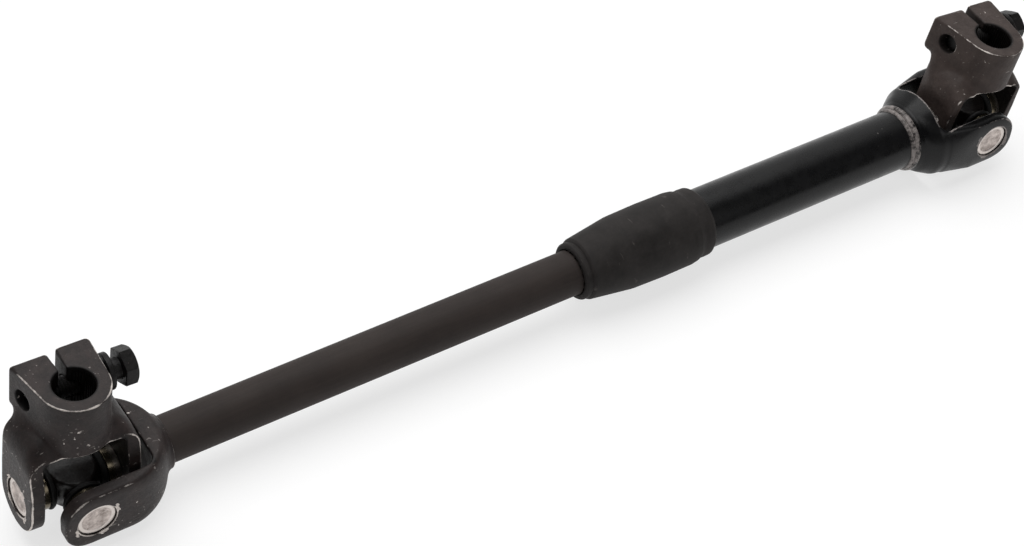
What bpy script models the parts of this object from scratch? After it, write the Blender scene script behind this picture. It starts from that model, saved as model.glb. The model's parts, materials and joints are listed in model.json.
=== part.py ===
"""Telescoping steering shaft with a universal joint at each end.

Frame: +X runs along the shaft from the lower joint to the upper one, +Z is up, metres.
A splined inner shaft slides in an outer tube, and a rubber boot closes the gap. Each end
carries a fork, a cross in four needle bearing caps, and a split clamp yoke with its pinch
bolt. At rest both clamp yokes are folded up at about a right angle, as the joints lie loose.
"""

import math

import bmesh
import bpy
from mathutils import Matrix

MM = 0.001

# Clearances
PRESS_GAP = 0.06 * MM
RUNNING_GAP = 0.08 * MM
SEAT_GAP = 0.3 * MM
CUT_MARGIN = 2.0 * MM

# Facets of a full turn
SMALL_STEPS = 20
LARGE_STEPS = 24
CORNER_STEPS = 4

# Shaft line, measured from the centre of the lower joint
JOINT_SPAN = 415.2 * MM
SHAFT_R = 9.2 * MM
SPLINE_TEETH = 16
SPLINE_DEPTH = 1.1 * MM
END_CHAMFER = 1.2 * MM

# Outer tube, its bush and its splined sleeve
TUBE_R = 12.55 * MM
TUBE_WALL = 2.0 * MM
TUBE_LENGTH = 146.2 * MM
BUSH_LENGTH = 16.0 * MM
SLEEVE_SPACING = 16.0 * MM
SLEEVE_LENGTH = 34.0 * MM
SPLINE_OVERRUN = 10.0 * MM

# Rubber boot: how far it stands before the tube's mouth, and how far it grips behind it
BOOT_REACH = 21.4 * MM
BOOT_GRIP = 40.4 * MM
BOOT_R = 15.5 * MM
BOOT_SHOULDER_R = 15.1 * MM
BOOT_CONE_R = 12.7 * MM
BOOT_LIP_R = 11.8 * MM
BOOT_BAND_R = 14.35 * MM
BOOT_LIP_LENGTH = 2.8 * MM
BOOT_CONE_LENGTH = 22.0 * MM
BOOT_BAND_LENGTH = 6.4 * MM
BOOT_LIP_GAP = 0.35 * MM
BOOT_MIN_WALL = 1.2 * MM

# Cross and needle bearing caps, measured from the joint's centre
CAP_R = 7.5 * MM
CAP_FACE = 20.4 * MM
CAP_DEPTH = 9.0 * MM
CAP_FLOOR = 1.5 * MM
CAP_DISH = 0.35 * MM
CAP_RIM = 1.6 * MM
JOURNAL_R = 4.2 * MM
NEEDLE_COUNT = 14
NEEDLE_MARGIN = 0.5 * MM
CROSS_ROOT_R = 6.4 * MM
CROSS_BARREL_R = 8.6 * MM
CROSS_BARREL_HALF = 6.7 * MM
SEAL_THICK = 2.2 * MM
SEAL_R = 8.2 * MM
SEAL_TAPER = 0.7 * MM

# Ears, which the two forks and the two clamp yokes share
EAR_FACE = 21.2 * MM
EAR_THICK = 5.2 * MM

# Forks, measured from the joint's centre towards the shaft
FORK_EDGE = 1.3 * MM
FORK_THROAT = 25.4 * MM
FORK_THROAT_R = 4.6 * MM
SHAFT_SUNK = 0.6 * MM
LOWER_FORK_HALF = 13.2 * MM
LOWER_FORK_TIP = 12.2 * MM
LOWER_FORK_TIP_R = 11.0 * MM
LOWER_FORK_BACK = 35.5 * MM
LOWER_FORK_BACK_R = 20.2 * MM
LOWER_DOME_RISE = 3.2 * MM
LOWER_DOME_CENTRE = 12.6 * MM
LOWER_COLLAR = 1.3 * MM
UPPER_FORK_HALF = 12.2 * MM
UPPER_FORK_TIP = 11.1 * MM
UPPER_FORK_TIP_R = 11.2 * MM
UPPER_FORK_BACK = 33.0 * MM
UPPER_FORK_BACK_R = 13.0 * MM
UPPER_BACK_TURN_R = 15.4 * MM
UPPER_RIM_R = 18.4 * MM
UPPER_EAR_RISE = 1.9 * MM
UPPER_WELD_LENGTH = 4.4 * MM
SPIGOT_LENGTH = 12.0 * MM

# Clamp yokes, measured from the joint's centre along the clamp bore
CLAMP_EDGE = 1.0 * MM
CLAMP_BORE_R = 7.5 * MM
CLAMP_BORE_CHAMFER = 0.6 * MM
CLAMP_BARREL_R = 13.1 * MM
CLAMP_ARCH_R = 3.0 * MM
CLAMP_SHOULDER = 7.0 * MM
CLAMP_TAPER_START = 8.0 * MM
CLAMP_SLOT = 3.4 * MM
SLOT_DEPTH = 2.6 * MM
LUG_TAPPED_SIDE = 16.5 * MM
LUG_CORNER_R = 2.2 * MM
HUB_EDGE = 0.9 * MM
LOWER_EAR_FACE = 21.2 * MM
LOWER_EAR_R = 12.6 * MM
LOWER_TURN_R = 24.2 * MM
LOWER_NECK_R = 23.6 * MM
LOWER_NECK_FRONT = 11.4 * MM
LOWER_NECK_REAR = 12.8 * MM
LOWER_ARCH = 24.2 * MM
LOWER_SHOULDER_R = 11.5 * MM
LOWER_HUB_TOP = 48.9 * MM
LOWER_LUG_HEAD_SIDE = 14.2 * MM
LOWER_TAPPED_REAR = 17.4 * MM
LOWER_HEAD_REAR = 18.2 * MM
LOWER_BOLT_DROP = 10.4 * MM
UPPER_EAR_FACE = 20.6 * MM
UPPER_EAR_R = 10.4 * MM
UPPER_TURN_R = 21.1 * MM
UPPER_NECK_R = 19.6 * MM
UPPER_NECK_FRONT = 7.6 * MM
UPPER_NECK_REAR = 13.6 * MM
UPPER_ARCH = 20.2 * MM
UPPER_SHOULDER_R = 15.0 * MM
UPPER_HUB_TOP = 42.4 * MM
UPPER_LUG_HEAD_SIDE = 15.2 * MM
UPPER_TAPPED_REAR = 18.8 * MM
UPPER_HEAD_REAR = 20.2 * MM
UPPER_BOLT_DROP = 7.8 * MM

# Pinch bolts
BOLT_R = 4.0 * MM
BOLT_LENGTH = 30.0 * MM
BOLT_BEHIND_BORE = 9.2 * MM
BOLT_HEAD_FLATS = 13.0 * MM
BOLT_HEAD_HEIGHT = 5.3 * MM
BOLT_TIP_CHAMFER = 0.8 * MM
BOLT_HOLE_GAP = 0.35 * MM
WASHER_R = 7.0 * MM
WASHER_THICK = 2.1 * MM
WASHER_RISE = 0.9 * MM
LOWER_WASHER_OUT = 1.1 * MM
LOWER_BOLT_OUT = 4.8 * MM

# How the loose joints lie: fold from square, lean to the side, and the forks' twist
LOWER_FOLD = math.radians(4.1)
LOWER_LEAN = math.radians(-3.2)
UPPER_FOLD = math.radians(7.6)
UPPER_LEAN = math.radians(3.2)
FORK_TWIST = math.radians(2.0)

# Sizes that follow from the ones above
NEEDLE_SHARE = math.sin(math.pi / NEEDLE_COUNT)
NEEDLE_TRACK_R = JOURNAL_R + RUNNING_GAP
NEEDLE_R = NEEDLE_TRACK_R * NEEDLE_SHARE / (1 - NEEDLE_SHARE) + 0.02 * MM
NEEDLE_PITCH_R = NEEDLE_TRACK_R + NEEDLE_R
CAP_BORE_R = NEEDLE_PITCH_R + NEEDLE_R + PRESS_GAP
CAP_MOUTH = CAP_FACE - CAP_DEPTH
CAP_INSIDE = CAP_FACE - CAP_FLOOR
JOURNAL_END = CAP_INSIDE - SEAT_GAP
SEAL_START = CAP_MOUTH - SEAT_GAP - SEAL_THICK
CROSS_SHOULDER = SEAL_START - SEAT_GAP
EAR_INSIDE = EAR_FACE - EAR_THICK
LOWER_DOME_R = EAR_FACE + LOWER_DOME_RISE
UPPER_EAR_TURN_R = EAR_FACE + UPPER_EAR_RISE
TUBE_BORE_R = TUBE_R - TUBE_WALL
TUBE_END = JOINT_SPAN - UPPER_FORK_BACK
TUBE_MOUTH = TUBE_END - TUBE_LENGTH
SLEEVE_START = TUBE_MOUTH + BUSH_LENGTH + SLEEVE_SPACING
SHAFT_END = SLEEVE_START + SLEEVE_LENGTH + SPLINE_OVERRUN
SPLINE_START = TUBE_MOUTH - BOOT_REACH
SHAFT_START = FORK_THROAT + SHAFT_SUNK
SPLINE_TIP_R = SHAFT_R - RUNNING_GAP
HEAD_CORNER_R = BOLT_HEAD_FLATS / math.sqrt(3)

ALONG_X = Matrix.Rotation(math.radians(90), 4, "Y")
ALONG_Y = Matrix.Rotation(math.radians(-90), 4, "X")
HALF_TURN = Matrix.Rotation(math.pi, 4, "Z")
QUARTER_TURN = Matrix.Rotation(math.pi / 2, 4, "Z")


def clear_scene():
    for obj in list(bpy.data.objects):
        bpy.data.objects.remove(obj, do_unlink=True)


def new_collection(name, cutters=False):
    collection = bpy.data.collections.new(name)
    bpy.context.scene.collection.children.link(collection)
    collection.hide_render = cutters
    return collection


def new_material(name, colour, roughness, metallic):
    material = bpy.data.materials.new(name)
    material.use_nodes = True
    shader = material.node_tree.nodes["Principled BSDF"]
    shader.inputs["Base Color"].default_value = (*colour, 1)
    shader.inputs["Roughness"].default_value = roughness
    shader.inputs["Metallic"].default_value = metallic
    material.diffuse_color = (*colour, 1)
    return material


def new_empty(name, parent, matrix):
    empty = bpy.data.objects.new(name, None)
    PARTS.objects.link(empty)
    empty.parent = parent
    empty.matrix_local = matrix
    return empty


def place(obj, parent, matrix=None, material=None):
    """Files a finished piece, or a cutter where no material is given."""
    obj.parent = parent
    obj.matrix_local = matrix or Matrix.Identity(4)
    if material:
        PARTS.objects.link(obj)
        obj.data.materials.append(material)
        obj.data.shade_smooth()
        obj.data.set_sharp_from_angle(angle=math.radians(35))
    else:
        CUTTERS.objects.link(obj)
        obj.hide_render = True
        obj.display_type = "WIRE"
    return obj


def arc(centre, radius, start, end, steps):
    """Points along an arc, with its angles in degrees."""
    angles = [math.radians(start + (end - start) * i / steps) for i in range(steps + 1)]
    return [(centre[0] + radius * math.cos(a), centre[1] + radius * math.sin(a)) for a in angles]


def rounded(corners, steps=CORNER_STEPS):
    """An outline from (x, y, radius) corners, each corner turned into an arc of its radius."""
    outline = []
    count = len(corners)
    for i, (x, y, radius) in enumerate(corners):
        if not radius:
            outline.append((x, y))
            continue
        before = corners[i - 1]
        after = corners[(i + 1) % count]
        into = math.atan2(before[1] - y, before[0] - x)
        out = math.atan2(after[1] - y, after[0] - x)
        turn = (out - into + math.pi) % (2 * math.pi) - math.pi
        reach = radius / math.sin(abs(turn) / 2)
        middle = into + turn / 2
        centre = (x + reach * math.cos(middle), y + reach * math.sin(middle))
        sweep = math.copysign(math.pi - abs(turn), -turn)
        first = into - math.copysign(math.pi / 2, turn)
        for step in range(steps + 1):
            angle = first + sweep * step / steps
            outline.append((centre[0] + radius * math.cos(angle), centre[1] + radius * math.sin(angle)))
    return outline


def turned(name, profile, steps=SMALL_STEPS, ring=False):
    """A solid turned about its Z axis, from (radius, height) points down its outer side."""
    mesh = bpy.data.meshes.new(name)
    count = len(profile)
    edges = [(i, (i + 1) % count) for i in range(count if ring else count - 1)]
    mesh.from_pydata([(r, 0, z) for r, z in profile], edges, [])
    obj = bpy.data.objects.new(name, mesh)
    screw = obj.modifiers.new("Turn", "SCREW")
    screw.steps = steps
    screw.render_steps = steps
    screw.use_merge_vertices = True
    screw.merge_threshold = 0.00001
    return obj


def plate(name, outline, bottom, top, edge=0.0, holes=()):
    """A flat outline of (x, y) points between two heights, with its rims rounded by edge."""
    curve = bpy.data.curves.new(name, "CURVE")
    curve.dimensions = "2D"
    curve.fill_mode = "BOTH"
    curve.extrude = (top - bottom) / 2 - edge
    curve.bevel_depth = edge
    curve.bevel_resolution = 0
    curve.offset = -edge
    for loop in (outline, *holes):
        spline = curve.splines.new("POLY")
        spline.points.add(len(loop) - 1)
        for point, (x, y) in zip(spline.points, loop):
            point.co = (x, y, 0, 1)
        spline.use_cyclic_u = True
    guide = bpy.data.objects.new(name, curve)
    CUTTERS.objects.link(guide)
    graph = bpy.context.evaluated_depsgraph_get()
    mesh = bpy.data.meshes.new_from_object(guide.evaluated_get(graph))
    bpy.data.objects.remove(guide)
    bpy.data.curves.remove(curve)
    mesh.transform(Matrix.Translation((0, 0, (top + bottom) / 2)))
    weld(mesh)
    mesh.name = name
    return bpy.data.objects.new(name, mesh)


def weld(mesh):
    work = bmesh.new()
    work.from_mesh(mesh)
    bmesh.ops.remove_doubles(work, verts=work.verts, dist=0.000002)
    bmesh.ops.recalc_face_normals(work, faces=work.faces)
    work.to_mesh(mesh)
    work.free()


def combine(obj, operation, other):
    """Joins, cuts or intersects a piece with a helper solid."""
    boolean = obj.modifiers.new(other.name, "BOOLEAN")
    boolean.operation = operation
    boolean.solver = "EXACT"
    boolean.object = other


def rod(name, radius, start, end, steps=SMALL_STEPS):
    return turned(name, [(0, end), (radius, end), (radius, start), (0, start)], steps)


def spline_outline(tip, root):
    """Teeth of equal width and gap, as four points a tooth."""
    outline = []
    pitch = 2 * math.pi / SPLINE_TEETH
    for tooth in range(SPLINE_TEETH):
        for radius, share in ((root, -0.32), (tip, -0.18), (tip, 0.18), (root, 0.32)):
            angle = pitch * (tooth + share)
            outline.append((radius * math.cos(angle), radius * math.sin(angle)))
    return outline


def needle_outline(side):
    """The outer (side 1) or inner (side -1) edge of a full ring of needles."""
    outline = []
    pitch = 2 * math.pi / NEEDLE_COUNT
    for needle in range(NEEDLE_COUNT):
        for share in (-0.5, -0.18, 0.18):
            across = NEEDLE_PITCH_R * math.sin(pitch * share)
            radius = NEEDLE_PITCH_R * math.cos(pitch * share) + side * math.sqrt(NEEDLE_R**2 - across**2)
            angle = pitch * (needle + share)
            outline.append((radius * math.cos(angle), radius * math.sin(angle)))
    return outline


def make_cap(name, parent, turn):
    """Drawn steel cap: a closed cup with a dished face and a raised rim, mouth towards the joint."""
    face_r = CAP_R - CAP_RIM
    profile = [
        (0, CAP_FACE - CAP_DISH),
        (face_r, CAP_FACE - CAP_DISH),
        (face_r + CAP_DISH, CAP_FACE),
        (CAP_R - CAP_DISH, CAP_FACE),
        (CAP_R, CAP_FACE - CAP_DISH),
        (CAP_R, CAP_MOUTH),
        (CAP_BORE_R, CAP_MOUTH),
        (CAP_BORE_R, CAP_INSIDE),
        (0, CAP_INSIDE),
    ]
    place(turned(name, profile), parent, turn @ ALONG_X, CAP_STEEL)


def make_needles(name, parent, turn):
    outline = needle_outline(1)
    start = CAP_MOUTH + NEEDLE_MARGIN
    needles = plate(name, outline, start, JOURNAL_END, holes=(needle_outline(-1),))
    place(needles, parent, turn @ ALONG_X, BEARING_STEEL)


def make_seal(name, parent, turn):
    inner = JOURNAL_R + RUNNING_GAP
    end = SEAL_START + SEAL_THICK
    profile = [(SEAL_R, end), (SEAL_R - SEAL_TAPER, SEAL_START), (inner, SEAL_START), (inner, end)]
    place(turned(name, profile, ring=True), parent, turn @ ALONG_X, SEAL_RUBBER)


def make_cross(name, parent):
    """Forged cross: a barrel with flat faces and four ground journals on shouldered roots."""
    spindle = [
        (0, JOURNAL_END),
        (JOURNAL_R - END_CHAMFER / 2, JOURNAL_END),
        (JOURNAL_R, JOURNAL_END - END_CHAMFER / 2),
        (JOURNAL_R, CROSS_SHOULDER),
        (CROSS_ROOT_R, CROSS_SHOULDER),
    ]
    profile = spindle + [(r, -z) for r, z in reversed(spindle)]
    barrel_edge = CROSS_BARREL_HALF - END_CHAMFER / 2
    barrel = [
        (0, CROSS_BARREL_HALF),
        (CROSS_BARREL_R - END_CHAMFER / 2, CROSS_BARREL_HALF),
        (CROSS_BARREL_R, barrel_edge),
        (CROSS_BARREL_R, -barrel_edge),
        (CROSS_BARREL_R - END_CHAMFER / 2, -CROSS_BARREL_HALF),
        (0, -CROSS_BARREL_HALF),
    ]
    cross = place(turned(name, barrel), parent, None, FORGED_STEEL)
    combine(cross, "UNION", place(turned(name + "_spindle_a", profile), parent, ALONG_X))
    combine(cross, "UNION", place(turned(name + "_spindle_b", profile), parent, ALONG_Y))


def bore_ears(obj, name, parent, matrix):
    reach = EAR_FACE + CUT_MARGIN
    cutter = rod(name + "_cap_bore", CAP_R + PRESS_GAP, -reach, reach)
    combine(obj, "DIFFERENCE", place(cutter, parent, matrix))


def make_fork(name, parent, half, tip, tip_r, back, back_r, envelope, material):
    """Fork from a thick U-shaped forging. Its base lies along the frame's X axis."""
    plan = rounded(
        [
            (-tip, EAR_FACE, 0),
            (back, EAR_FACE, back_r),
            (back, -EAR_FACE, back_r),
            (-tip, -EAR_FACE, 0),
            (-tip, -EAR_INSIDE, 0),
            (FORK_THROAT, -EAR_INSIDE, FORK_THROAT_R),
            (FORK_THROAT, EAR_INSIDE, FORK_THROAT_R),
            (-tip, EAR_INSIDE, 0),
        ]
    )
    fork = plate(name, plan, -half, half, FORK_EDGE)
    place(fork, parent, None, material)
    reach = EAR_FACE + CUT_MARGIN
    side = rounded(
        [
            (-tip, -half - CUT_MARGIN / 10, tip_r),
            (back + CUT_MARGIN, -half - CUT_MARGIN, 0),
            (back + CUT_MARGIN, half + CUT_MARGIN, 0),
            (-tip, half + CUT_MARGIN / 10, tip_r),
        ],
        steps=2 * CORNER_STEPS,
    )
    tips = plate(name + "_tips", side, -reach, reach)
    combine(fork, "INTERSECT", place(tips, parent, Matrix.Rotation(math.radians(90), 4, "X")))
    dome = turned(name + "_dome", envelope, LARGE_STEPS)
    combine(fork, "INTERSECT", place(dome, parent, ALONG_X))
    return fork


def make_lower_fork(parent):
    """Fork on the inner shaft: its back is domed down to a short collar round the shaft."""
    collar_r = SHAFT_R + LOWER_COLLAR
    steep = math.degrees(math.acos(collar_r / LOWER_DOME_R))
    dome = arc((0, LOWER_DOME_CENTRE), LOWER_DOME_R, steep, 0, 2 * CORNER_STEPS)
    end = -LOWER_FORK_TIP - CUT_MARGIN
    envelope = [(0, LOWER_FORK_BACK + CUT_MARGIN), (collar_r, LOWER_FORK_BACK + CUT_MARGIN)]
    envelope += dome + [(LOWER_DOME_R, end), (0, end)]
    fork = make_fork("lower_fork", parent, LOWER_FORK_HALF, LOWER_FORK_TIP, LOWER_FORK_TIP_R,
                     LOWER_FORK_BACK, LOWER_FORK_BACK_R, envelope, DARK_OXIDE)
    bore_ears(fork, "lower_fork", parent, ALONG_Y)
    bore = rod("lower_fork_bore", SHAFT_R + PRESS_GAP, 0, LOWER_FORK_BACK + CUT_MARGIN, LARGE_STEPS)
    combine(fork, "DIFFERENCE", place(bore, parent, ALONG_X))


def make_upper_fork(parent):
    """Fork on the tube: a round base with a spigot in the tube and a weld bead round it."""
    back = UPPER_FORK_BACK
    end = -UPPER_FORK_TIP - CUT_MARGIN
    envelope = [
        (0, back + CUT_MARGIN),
        (UPPER_BACK_TURN_R, back + CUT_MARGIN),
        (UPPER_BACK_TURN_R, back - 1 * MM),
        (UPPER_RIM_R, FORK_THROAT + 1 * MM),
        (UPPER_RIM_R + 1.8 * MM, FORK_THROAT - 3.5 * MM),
        (UPPER_EAR_TURN_R, CAP_R + CUT_MARGIN),
        (UPPER_EAR_TURN_R, end),
        (0, end),
    ]
    fork = make_fork("upper_fork", parent, UPPER_FORK_HALF, UPPER_FORK_TIP, UPPER_FORK_TIP_R,
                     back, UPPER_FORK_BACK_R, envelope, GLOSS_BLACK)
    weld_end = back + UPPER_WELD_LENGTH
    base = [
        (0, back + SPIGOT_LENGTH),
        (TUBE_BORE_R - PRESS_GAP, back + SPIGOT_LENGTH),
        (TUBE_BORE_R - PRESS_GAP, back - SEAT_GAP),
        (TUBE_R + PRESS_GAP, back - SEAT_GAP),
        (TUBE_R + PRESS_GAP, weld_end),
        (TUBE_R + 0.6 * MM, weld_end),
        (UPPER_BACK_TURN_R - 1.8 * MM, back + 2 * MM),
        (UPPER_BACK_TURN_R + 0.2 * MM, back - 0.6 * MM),
        (UPPER_RIM_R + 0.2 * MM, FORK_THROAT + 1.4 * MM),
        (UPPER_RIM_R - 0.5 * MM, FORK_THROAT),
        (0, FORK_THROAT),
    ]
    combine(fork, "UNION", place(turned("upper_fork_base", base, LARGE_STEPS), parent, ALONG_X))
    bore_ears(fork, "upper_fork", parent, ALONG_Y)


def flank(x, y, side):
    """Where a straight flank from a lug's corner meets the hub's barrel, in degrees."""
    return math.degrees(math.atan2(y, x) + side * math.acos(CLAMP_BARREL_R / math.hypot(x, y)))


def make_clamp_yoke(name, parent, size, material):
    """Clamp yoke: two ears under a domed shoulder, and a split hub with two lugs behind its bore."""
    face = size["ear_face"]
    inside = face - EAR_THICK
    ear_r = size["ear_r"]
    arch = size["arch"]
    top = size["hub_top"]
    head_side = size["head_side"]
    shoulder = arch + CLAMP_SHOULDER
    shoulder_r = size["shoulder_r"]
    ear_bottom = -ear_r - CUT_MARGIN
    front = rounded(
        [
            (-face, ear_bottom, 0),
            (-inside, ear_bottom, 0),
            (-inside, arch, CLAMP_ARCH_R),
            (inside, arch, CLAMP_ARCH_R),
            (inside, ear_bottom, 0),
            (face, ear_bottom, 0),
            (face, shoulder, shoulder_r),
            (-face, shoulder, shoulder_r),
        ]
    )
    upright = Matrix.Rotation(math.radians(90), 4, "X")
    yoke = plate(name, front, -size["neck_rear"], ear_r, CLAMP_EDGE)
    yoke.data.transform(upright)
    place(yoke, parent, None, material)
    dome_rear = math.degrees(math.acos(size["neck_rear"] / shoulder))
    dome_front = math.degrees(math.acos(-size["neck_front"] / shoulder))
    side = arc((0, 0), ear_r, 180, 360, 3 * CORNER_STEPS)
    side += arc((0, 0), shoulder, dome_rear, dome_front, CORNER_STEPS)
    reach = EAR_FACE + CUT_MARGIN
    tips = plate(name + "_tips", side, -reach, reach)
    combine(yoke, "INTERSECT", place(tips, parent, QUARTER_TURN @ upright))
    turn = [
        (0, shoulder + CUT_MARGIN),
        (size["neck_r"], shoulder + CUT_MARGIN),
        (size["neck_r"], shoulder),
        (size["turn_r"], CLAMP_TAPER_START),
        (size["turn_r"], ear_bottom),
        (0, ear_bottom),
    ]
    combine(yoke, "INTERSECT", place(turned(name + "_turn", turn, LARGE_STEPS), parent))
    lugs = [
        (head_side, size["head_rear"], LUG_CORNER_R),
        (-LUG_TAPPED_SIDE, size["tapped_rear"], LUG_CORNER_R),
    ]
    first = flank(-LUG_TAPPED_SIDE, size["tapped_rear"], 1)
    last = 360 + flank(head_side, size["head_rear"], -1)
    barrel = arc((0, 0), CLAMP_BARREL_R, first, last, 3 * CORNER_STEPS)
    hub = rounded(lugs + [(x, y, 0) for x, y in barrel])
    block = plate(name + "_hub", hub, arch, top, HUB_EDGE)
    combine(yoke, "UNION", place(block, parent))
    bore_ears(yoke, name, parent, ALONG_X)
    bore = [
        (0, top + CUT_MARGIN),
        (CLAMP_BORE_R + CLAMP_BORE_CHAMFER + CUT_MARGIN, top + CUT_MARGIN),
        (CLAMP_BORE_R, top - CLAMP_BORE_CHAMFER),
        (CLAMP_BORE_R, arch - CUT_MARGIN),
        (0, arch - CUT_MARGIN),
    ]
    combine(yoke, "DIFFERENCE", place(turned(name + "_bore", bore, LARGE_STEPS), parent))
    half = CLAMP_SLOT / 2
    end = size["head_rear"] + CUT_MARGIN
    slot = [(-half, 0), (half, 0), (half, end), (-half, end)]
    cutter = plate(name + "_slot", slot, shoulder - SLOT_DEPTH, top + CUT_MARGIN)
    combine(yoke, "DIFFERENCE", place(cutter, parent))
    hole = [
        (0, head_side + CUT_MARGIN),
        (BOLT_R + BOLT_HOLE_GAP, head_side + CUT_MARGIN),
        (BOLT_R + BOLT_HOLE_GAP, 0),
        (BOLT_R + PRESS_GAP, 0),
        (BOLT_R + PRESS_GAP, -LUG_TAPPED_SIDE - CUT_MARGIN),
        (0, -LUG_TAPPED_SIDE - CUT_MARGIN),
    ]
    bolt_line = Matrix.Translation((0, BOLT_BEHIND_BORE, top - size["bolt_drop"])) @ ALONG_X
    combine(yoke, "DIFFERENCE", place(turned(name + "_bolt_hole", hole), parent, bolt_line))


def make_bolt(name, parent, seat):
    """Hexagon-head bolt, with its head's bearing face at seat and its shank towards -X."""
    tip = seat - BOLT_LENGTH
    shank = [
        (0, seat + BOLT_HEAD_HEIGHT / 2),
        (BOLT_R, seat + BOLT_HEAD_HEIGHT / 2),
        (BOLT_R, tip + BOLT_TIP_CHAMFER),
        (BOLT_R - BOLT_TIP_CHAMFER, tip),
        (0, tip),
    ]
    bolt = place(turned(name, shank), parent, ALONG_X, BLACK_BOLT)
    top = seat + BOLT_HEAD_HEIGHT
    head = plate(name + "_head", arc((0, 0), HEAD_CORNER_R, 0, 300, 5), seat, top + CUT_MARGIN)
    top_r = BOLT_HEAD_FLATS / 2 - 0.3 * MM
    chamfer_r = HEAD_CORNER_R + CUT_MARGIN
    rise = (chamfer_r - top_r) * math.tan(math.radians(30))
    chamfer = turned(name + "_head_chamfer", [
        (0, top),
        (top_r, top),
        (chamfer_r, top - rise),
        (chamfer_r, seat - CUT_MARGIN),
        (0, seat - CUT_MARGIN),
    ])
    place(head, parent, ALONG_X)
    place(chamfer, parent, ALONG_X)
    combine(head, "INTERSECT", chamfer)
    combine(bolt, "UNION", head)


def make_washer(name, parent, start, rise):
    """Split spring washer: a ring with a narrow gap, its ends offset along its axis by rise."""
    inner = BOLT_R + BOLT_HOLE_GAP
    steps = SMALL_STEPS - 1
    ring = arc((0, 0), WASHER_R, 6, 354, steps) + arc((0, 0), inner, 350, 10, steps)
    washer = plate(name, ring, start, start + WASHER_THICK)
    for vertex in washer.data.vertices:
        turn = math.atan2(vertex.co.y, vertex.co.x) % (2 * math.pi)
        vertex.co.z += rise * turn / (2 * math.pi)
    place(washer, parent, ALONG_X, BLACK_BOLT)


def make_joint(side, parent, frame, size, clamp_material):
    """Cross, caps, needles, seals, clamp yoke, washer and bolt of one end, round one centre."""
    fork_frame = new_empty(side + "_fork_pivot", parent, frame)
    fold = Matrix.Rotation(size["fold"], 4, "Y")
    cross_frame = new_empty(side + "_cross_pivot", fork_frame, fold)
    lean = Matrix.Rotation(size["lean"], 4, "X")
    clamp_frame = new_empty(side + "_clamp_pivot", cross_frame, lean)
    bolt_line = Matrix.Translation((0, BOLT_BEHIND_BORE, size["hub_top"] - size["bolt_drop"]))
    bolt_frame = new_empty(side + "_bolt_line", clamp_frame, bolt_line)
    make_cross(side + "_cross", cross_frame)
    for label, holder, turn in (
        ("fork_front", fork_frame, QUARTER_TURN.inverted()),
        ("fork_rear", fork_frame, QUARTER_TURN),
        ("clamp_left", clamp_frame, HALF_TURN),
        ("clamp_right", clamp_frame, Matrix.Identity(4)),
    ):
        make_cap(f"{side}_cap_{label}", holder, turn)
        make_needles(f"{side}_needles_{label}", holder, turn)
        make_seal(f"{side}_seal_{label}", cross_frame, turn)
    make_clamp_yoke(side + "_clamp_yoke", clamp_frame, size, clamp_material)
    washer_start = size["head_side"] + SEAT_GAP + size["washer_out"]
    rise = WASHER_RISE if size["washer_out"] else 0
    make_washer(side + "_lock_washer", bolt_frame, washer_start, rise)
    seat = size["head_side"] + WASHER_THICK + 2 * SEAT_GAP + size["bolt_out"]
    make_bolt(side + "_pinch_bolt", bolt_frame, seat)
    return fork_frame


def make_inner_shaft(parent):
    profile = [
        (0, SPLINE_START),
        (SHAFT_R, SPLINE_START),
        (SHAFT_R, SHAFT_START + END_CHAMFER),
        (SHAFT_R - END_CHAMFER, SHAFT_START),
        (0, SHAFT_START),
    ]
    shaft = place(turned("inner_shaft", profile, LARGE_STEPS), parent, ALONG_X, PHOSPHATED_STEEL)
    outline = spline_outline(SPLINE_TIP_R, SPLINE_TIP_R - SPLINE_DEPTH)
    teeth = plate("inner_shaft_spline", outline, SPLINE_START - 1 * MM, SHAFT_END)
    combine(shaft, "UNION", place(teeth, parent, ALONG_X))


def make_outer_tube(parent):
    profile = [
        (TUBE_R, TUBE_END),
        (TUBE_R, TUBE_MOUTH),
        (TUBE_BORE_R, TUBE_MOUTH),
        (TUBE_BORE_R, TUBE_END),
    ]
    place(turned("outer_tube", profile, LARGE_STEPS, ring=True), parent, ALONG_X, GLOSS_BLACK)


def make_guide_bush(parent):
    outer = TUBE_BORE_R - PRESS_GAP
    inner = SHAFT_R + RUNNING_GAP
    end = TUBE_MOUTH + BUSH_LENGTH
    profile = [(outer, end), (outer, TUBE_MOUTH), (inner, TUBE_MOUTH), (inner, end)]
    place(turned("guide_bush", profile, LARGE_STEPS, ring=True), parent, ALONG_X, BUSH_PLASTIC)


def make_splined_sleeve(parent):
    end = SLEEVE_START + SLEEVE_LENGTH
    sleeve = rod("splined_sleeve", TUBE_BORE_R - PRESS_GAP, SLEEVE_START, end, LARGE_STEPS)
    place(sleeve, parent, ALONG_X, BEARING_STEEL)
    tip = SPLINE_TIP_R + RUNNING_GAP
    outline = spline_outline(tip, tip - SPLINE_DEPTH)
    cutter = plate("splined_sleeve_teeth", outline, SLEEVE_START - CUT_MARGIN, end + CUT_MARGIN)
    combine(sleeve, "DIFFERENCE", place(cutter, parent, ALONG_X))


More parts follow.
